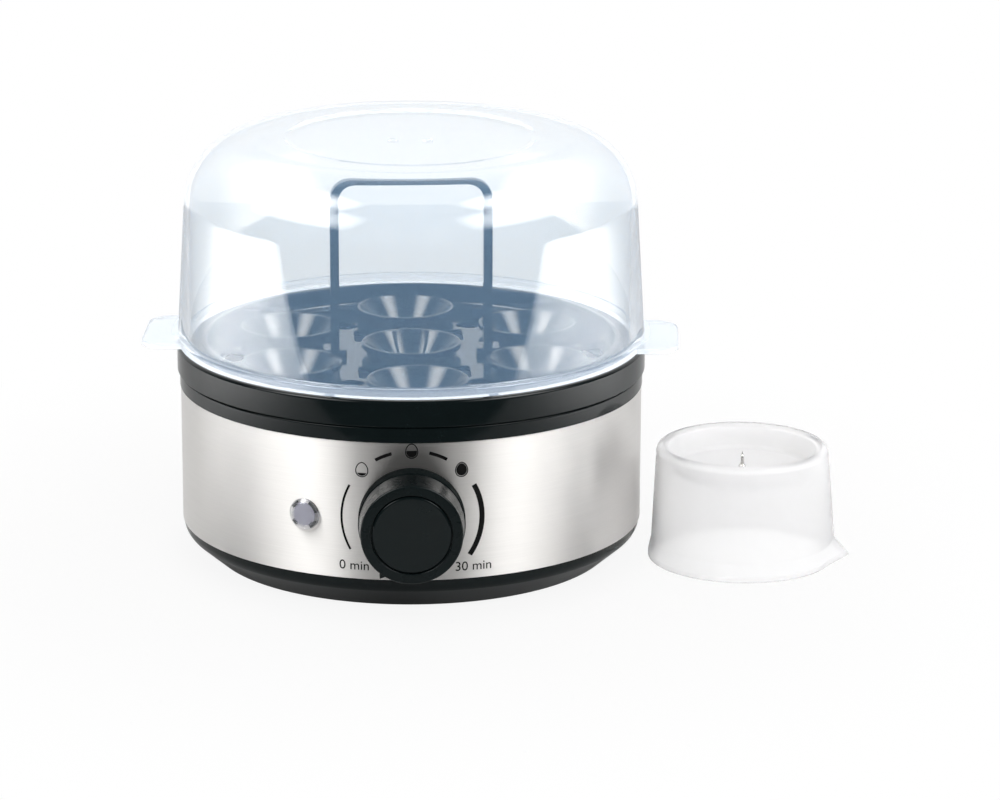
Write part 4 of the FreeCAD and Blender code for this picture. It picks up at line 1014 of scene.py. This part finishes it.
class COOKER_OT_tray_strap(bpy.types.Operator):
    """Strap that lifts the tray"""
    bl_idname = "cooker.tray_strap"
    bl_label = "Tray strap"

    def execute(self, context):
        tray = context.scene.cooker_tray
        top, foot, depth = STRAP_HIGH.z, STRAP_LOW.z, tray.strap_depth
        out = tray.strap_post + tray.strap_width / 2.0
        into = tray.strap_post - tray.strap_width / 2.0
        under, bend = top - tray.strap_bar, tray.strap_bend
        inner_bend = bend - tray.strap_bar
        strap = bmesh.new()
        verts = wire(strap, [
            (into, foot), (out, foot), (out, top, bend), (-out, top, bend), (-out, foot),
            (-into, foot), (-into, under, inner_bend), (into, under, inner_bend),
        ])
        face = bmesh.ops.contextual_create(strap, geom=edges_of(verts))["faces"]
        push_out(strap, face, (0.0, depth, 0.0))
        bmesh.ops.translate(strap, verts=strap.verts, vec=(0.0, -depth / 2.0, 0.0))
        ease_edges(tidy(strap), FINE_EDGE)
        place(strap, Matrix.Rotation(tray.turn, 4, "Z"))
        add_black("tray_strap", strap, "tray_set", "polished_black", "tray_handle")
        return {"FINISHED"}


def swell(value):
    """Ease from 0 to 1."""
    value = max(0.0, min(1.0, value))
    return value * value * (3.0 - 2.0 * value)


def swell_webs(bm, lid, flange):
    """Let the lid's wall stand out over the two grip tabs."""
    for vert in bm.verts:
        around = math.atan2(vert.co.y, abs(vert.co.x))
        outside = vert.co.xy.length > lid.shoulder_radius - lid.wall / 2.0
        if outside and flange - EASE < vert.co.z < lid.web_top:
            rise = swell((lid.web_top - vert.co.z) / (lid.web_top - flange))
            across = swell((lid.web_half_angle - abs(around)) / lid.web_half_angle * 2.0)
            vert.co.xy *= 1.0 + lid.web_reach * rise * across / lid.foot_radius


class COOKER_OT_lid(bpy.types.Operator):
    """Clear lid with flange, stepped top, vents and two grip tabs"""
    bl_idname = "cooker.lid"
    bl_label = "Lid"

    def execute(self, context):
        lid = context.scene.cooker_lid
        seat, top, wall, step = LID_LOW.z, LID_HIGH.z, lid.wall, lid.step
        flange, sunk = seat + lid.flange_height, top - step
        brink, pit = lid.step_radius + step, lid.step_radius - step
        dome = turned([
            (lid.foot_radius - wall, seat, EASE), (lid.flange_radius, seat, 0.0006),
            (lid.flange_radius, flange, SOFT_EDGE), (lid.foot_radius, flange, SOFT_EDGE),
            (lid.shoulder_radius, top, lid.shoulder_curve), (brink, top, step), (pit, sunk, step),
            (0.0, sunk), (0.0, sunk - wall), (pit, sunk - wall, step), (brink, top - wall, step),
            (lid.shoulder_radius - wall, top - wall, lid.shoulder_curve - wall),
        ])
        swell_webs(dome, lid, flange)
        tabs = bmesh.new()
        root, reach = lid.foot_radius - wall / 2.0, LID_HIGH.x - 2.0 * EASE
        half, corner = lid.tab_half_width, lid.tab_round
        tab = [(root, -half), (reach, -half, corner), (reach, half, corner), (root, half)]
        for turn in even_turns(2):
            slab(tabs, tab, seat, seat + lid.tab_height, turn)
        ease_edges(tidy(tabs), FINE_EDGE)
        vents = bmesh.new()
        for side in BOTH_SIDES:
            turn_outline(vents, rod(lid.vent_radius, top - wall * 3.0, top + wall),
                         SMALL_STEPS // 2, (side * lid.vent_apart, -lid.vent_forward))
        dome = tidy(combined(combined(dome, tabs, "UNION"), vents, "DIFFERENCE"))
        place(dome, Matrix.Rotation(lid.turn, 4, "Z"))
        cover = add_piece("lid_dome", dome, "lid_cover", lid_plastic(), ["lid"])
        # Clear plastic hardly dims the light on the tray or what the tray mirrors.
        cover.visible_shadow = False
        cover.visible_glossy = False
        return {"FINISHED"}


def draw_lip(bm, cup, beak):
    """Draw the cup's wall out to a pouring lip by its mouth, towards +X."""
    for vert in bm.verts:
        near = 1.0 - abs(math.atan2(vert.co.y, vert.co.x)) / cup.lip_half_angle
        in_wall = vert.co.xy.length > cup.recess_radius + cup.wall
        if near > 0.0 and vert.co.z < cup.lip_height and in_wall:
            low = 1.0 - vert.co.z / cup.lip_height
            vert.co.xy *= 1.0 + beak * near ** 1.6 * low ** 2.0 / cup.mouth_radius


class COOKER_OT_measuring_cup(bpy.types.Operator):
    """Measuring cup upside down, with its pouring lip and the pricker in its recess"""
    bl_idname = "cooker.measuring_cup"
    bl_label = "Measuring cup"

    def execute(self, context):
        cup = context.scene.cooker_measure
        wall, top, mouth, recess = cup.wall, CUP_HIGH.z, cup.mouth_radius, cup.recess_radius
        centre = Vector((CUP_LOW.x + mouth, (CUP_LOW.y + CUP_HIGH.y) / 2.0, 0.0))
        flare, ceiling = wall * 4.0, cup.floor - wall
        ridge = (cup.top_radius + recess) / 2.0
        crown = (cup.top_radius - recess) / 2.0
        shell = turned([
            (mouth - wall, 0.0, EASE), (mouth, 0.0, EASE), (mouth, wall * 1.2, 0.002),
            (mouth - wall * 0.6, flare, 0.006), (cup.top_radius, top, crown * 1.3),
            (ridge - EASE, top, EASE), (recess, top - crown * 0.5, crown * 0.6),
            (recess - wall, cup.floor, 0.002), (0.0, cup.floor), (0.0, ceiling),
            (recess - wall * 1.4, ceiling, 0.002),
            (recess + wall * 0.6, top - wall - crown * 0.3, 0.0008),
            (cup.top_radius - wall, top - wall, crown * 0.9), (mouth - wall * 1.6, flare, 0.006),
        ])
        draw_lip(shell, cup, CUP_HIGH.x - centre.x - mouth)
        place(shell, Matrix.Translation(centre))
        add_piece("measuring_shell", tidy(shell), "measure", cup_plastic(),
                  ["measuring_cup"])
        radius, low, high = 0.0007, NEEDLE_LOW.z, NEEDLE_HIGH.z
        pin = turned([
            (0.0, low), (radius * 2.2, low), (radius * 1.8, low + radius, EASE),
            (radius, low + radius * 2.0, EASE), (radius * 0.9, high - radius * 4.0), (0.0, high),
        ], SMALL_STEPS // 2)
        place(pin, Matrix.Translation(centre))
        steel = metal("bright_steel", STEEL_TINT, 0.16, 0.3)
        add_piece("pricker_pin", pin, "measure", steel, ["pricker_needle"])
        return {"FINISHED"}


class COOKER_OT_inner_works(bpy.types.Operator):
    """Finishes of the pieces inside the base"""
    bl_idname = "cooker.inner_works"
    bl_label = "Inner works"

    def execute(self, context):
        pale = moulded("pale_plastic", (0.62, 0.59, 0.52), 0.35, 0.5)
        sheath = metal("sheath_grey", (0.33, 0.33, 0.33), 0.4, 0.55)
        plated = metal("plated_steel", (0.55, 0.55, 0.54), 0.25, 0.4)
        sleeve = moulded("wire_sleeve", (0.45, 0.06, 0.05), 0.4, 0.55)
        seal = moulded("silicone_seal", (0.5, 0.48, 0.45), 0.5, 0.65)
        for material, nodes in (
            (sheath, ("heating_element", "thermal_fuse")),
            (sleeve, ("lead_wires",)),
            (seal, ("plate_gasket",)),
            (pale, ("timer_bracket", "timer_case", "lamp_body", "terminal_block", "thermostat")),
            (plated, ("clamp_bracket", "clamp_nuts", "pan_screws", "timer_screws", "timer_spindle",
                      "timer_bell", "lamp_nut", "element_pins")),
        ):
            for node in nodes:
                mesh = frame["nodes"][node].data
                mesh.materials.clear()
                mesh.materials.append(material)
        return {"FINISHED"}


# Stage

# Brightness of the studio, where 1 is white: as even light, through clear plastic and to the eye,
# then mirrored from in front and from behind, and how far round to the rear it turns lighter.
EVEN_LIGHT, LIGHT_THROUGH, BACKDROP = 0.75, 1.2, 1.0
ROOM_FRONT, ROOM_REAR, ROOM_TURN = 0.12, 1.0, (0.2, 0.8)
# The floor's shadow is fullest up to the first distance and gone at the second, and this much of
# the floor is plain white even where it is fullest.
SHADOW_NEAR, SHADOW_FAR, SHADOW_WHITE = 0.08, 0.30, 0.9


def area_lamp(name, place_at, aim, width, height, brightness):
    """A soft box, brightest in its middle; brightness 1 there would look white."""
    lamp = bpy.data.lights.new(name, "AREA")
    lamp.shape = "RECTANGLE"
    lamp.size, lamp.size_y = width, height
    lamp.energy = brightness * 4.0 * width * height
    lamp.use_nodes = True
    tree = lamp.node_tree
    across = split_vector(tree, tree.nodes.new("ShaderNodeNewGeometry").outputs["Parametric"])
    phases = [math_node(tree, "MULTIPLY", across[axis], math.pi) for axis in "XY"]
    sides = [math_node(tree, "SINE", phase) for phase in phases]
    feed(tree, tree.nodes["Emission"], Strength=math_node(tree, "MULTIPLY", *sides))
    thing = add_object(name, lamp)
    thing.visible_camera = False
    facing = (Vector(aim) - Vector(place_at)).to_track_quat("-Z", "Y")
    thing.matrix_world = Matrix.Translation(place_at) @ facing.to_matrix().to_4x4()
    return thing


def studio_world():
    """Even light, white behind the cooker, and a dark room in front of it for the reflections."""
    world = bpy.data.worlds.new("studio")
    world.use_nodes = True
    bpy.context.scene.world = world
    tree = world.node_tree
    direction = split_vector(tree, tree.nodes.new("ShaderNodeTexCoord").outputs["Generated"])
    ray = tree.nodes.new("ShaderNodeLightPath").outputs
    behind = map_range(tree, direction["Y"], *ROOM_TURN)
    room = mix_colours(tree, behind, ROOM_FRONT, ROOM_REAR)
    light = mix_colours(tree, ray["Is Glossy Ray"], EVEN_LIGHT, room)
    light = mix_colours(tree, ray["Is Transmission Ray"], light, LIGHT_THROUGH)
    light = mix_colours(tree, ray["Is Camera Ray"], light, BACKDROP)
    feed(tree, tree.nodes["Background"], Color=light)


def floor_material():
    """Pale floor that keeps a shadow by the cooker, runs out to white, and is open from below."""
    material, tree, shader = new_material("pale_floor")
    feed(tree, shader, Base_Color=(0.7, 0.7, 0.7, 1.0), Roughness=0.8, Specular_IOR_Level=0.1)
    white = tree.nodes.new("ShaderNodeEmission")
    open_air = tree.nodes.new("ShaderNodeBsdfTransparent")
    ray = tree.nodes.new("ShaderNodeLightPath").outputs
    seen = math_node(tree, "MAXIMUM", ray["Is Camera Ray"], ray["Is Transmission Ray"])
    distance = tree.nodes.new("ShaderNodeVectorMath")
    distance.operation = "LENGTH"
    tree.links.new(object_place(tree), distance.inputs[0])
    fade = map_range(tree, distance.outputs["Value"], SHADOW_NEAR, SHADOW_FAR, SHADOW_WHITE,
                     ease="SMOOTHSTEP")
    top = mix_shaders(tree, math_node(tree, "MULTIPLY", seen, fade), shader, white)
    below = tree.nodes.new("ShaderNodeNewGeometry").outputs["Backfacing"]
    from_below = math_node(tree, "MULTIPLY", below, ray["Is Camera Ray"])
    show(tree, mix_shaders(tree, from_below, top, open_air))
    return material


def add_floor():
    sheet = bmesh.new()
    front, rear, width = -0.29, 0.6, 2.0
    bmesh.ops.create_grid(sheet, x_segments=1, y_segments=1, size=0.5)
    bmesh.ops.scale(sheet, verts=sheet.verts, vec=(width, rear - front, 1.0))
    bmesh.ops.translate(sheet, verts=sheet.verts, vec=(0.0, (rear + front) / 2.0, 0.0))
    floor = add_mesh("floor", sheet)
    floor.data.materials.append(floor_material())


def add_lamps():
    """On either side a box, a high box for streaks in the cups and a floor glow; fill in front."""
    aim = (0.0, 0.0, 0.09)
    for name, side, brightness in (("left_box", -1.0, 6.5), ("right_box", 1.0, 6.0)):
        box = area_lamp(name, (side * 0.95, -0.53, 0.90), aim, 1.5, 0.7, brightness)
        box.visible_diffuse = False
        streak = area_lamp(name + "_high", (side * 0.62, -0.20, 1.05), aim, 0.75, 0.55, 9.0)
        streak.visible_diffuse = False
        above = Vector((side * 0.60, -0.08, 0.30))
        glow = area_lamp(name + "_floor", above, above - UP * 0.3, 0.6, 0.6, 12.0)
        glow.data.spread = math.radians(70.0)
        glow.visible_glossy = False
    fill = area_lamp("front_fill", (0.25, -1.4, 0.9), (0.04, 0.0, 0.08), 1.0, 1.0, 7.0)
    fill.visible_glossy = False
    fill.visible_transmission = False


def add_camera():
    camera = bpy.data.cameras.new("camera")
    camera.sensor_width = 36.0
    camera.lens = 152.98
    eye = add_object("camera", camera)
    tilt_down, roll, swing = 0.2755, -0.0033, -0.0207
    eye.location = (0.0, -1.586, 0.5082)
    eye.rotation_euler = (QUARTER_TURN - tilt_down, roll, swing)
    bpy.context.scene.camera = eye


class COOKER_OT_stage(bpy.types.Operator):
    """Pale floor, soft boxes and the camera"""
    bl_idname = "cooker.stage"
    bl_label = "Stage"

    def execute(self, context):
        add_floor()
        studio_world()
        add_lamps()
        add_camera()
        context.scene.view_settings.view_transform = "Standard"
        return {"FINISHED"}


OPERATORS = (
    COOKER_OT_lower_shell,
    COOKER_OT_steel_band,
    COOKER_OT_collar,
    COOKER_OT_water_dish,
    COOKER_OT_knob,
    COOKER_OT_dial_print,
    COOKER_OT_pilot_lamp,
    COOKER_OT_cord_bushing,
    COOKER_OT_egg_tray,
    COOKER_OT_tray_strap,
    COOKER_OT_lid,
    COOKER_OT_measuring_cup,
    COOKER_OT_inner_works,
    COOKER_OT_stage,
)


class COOKER_PT_pieces(bpy.types.Panel):
    """The cooker's pieces, in the order in which they are built"""
    bl_idname = "COOKER_PT_pieces"
    bl_label = "Egg cooker"
    bl_space_type = "VIEW_3D"
    bl_region_type = "UI"
    bl_category = "Egg cooker"

    def draw(self, context):
        for operator in OPERATORS:
            self.layout.operator(operator.bl_idname)


CLASSES = (*SETTINGS.values(), *OPERATORS, COOKER_PT_pieces)


def register():
    for settings in SETTINGS.values():
        for name, field in settings.__annotations__.items():
            field.keywords["name"] = name.replace("_", " ").capitalize()
    for item in CLASSES:
        bpy.utils.register_class(item)
    for name, settings in SETTINGS.items():
        setattr(bpy.types.Scene, name, PointerProperty(type=settings))


def unregister():
    for name in SETTINGS:
        delattr(bpy.types.Scene, name)
    for item in reversed(CLASSES):
        bpy.utils.unregister_class(item)


def main():
    register()
    for operator in OPERATORS:
        family, action = operator.bl_idname.split(".")
        getattr(getattr(bpy.ops, family), action)()


if __name__ == "__main__":
    main()
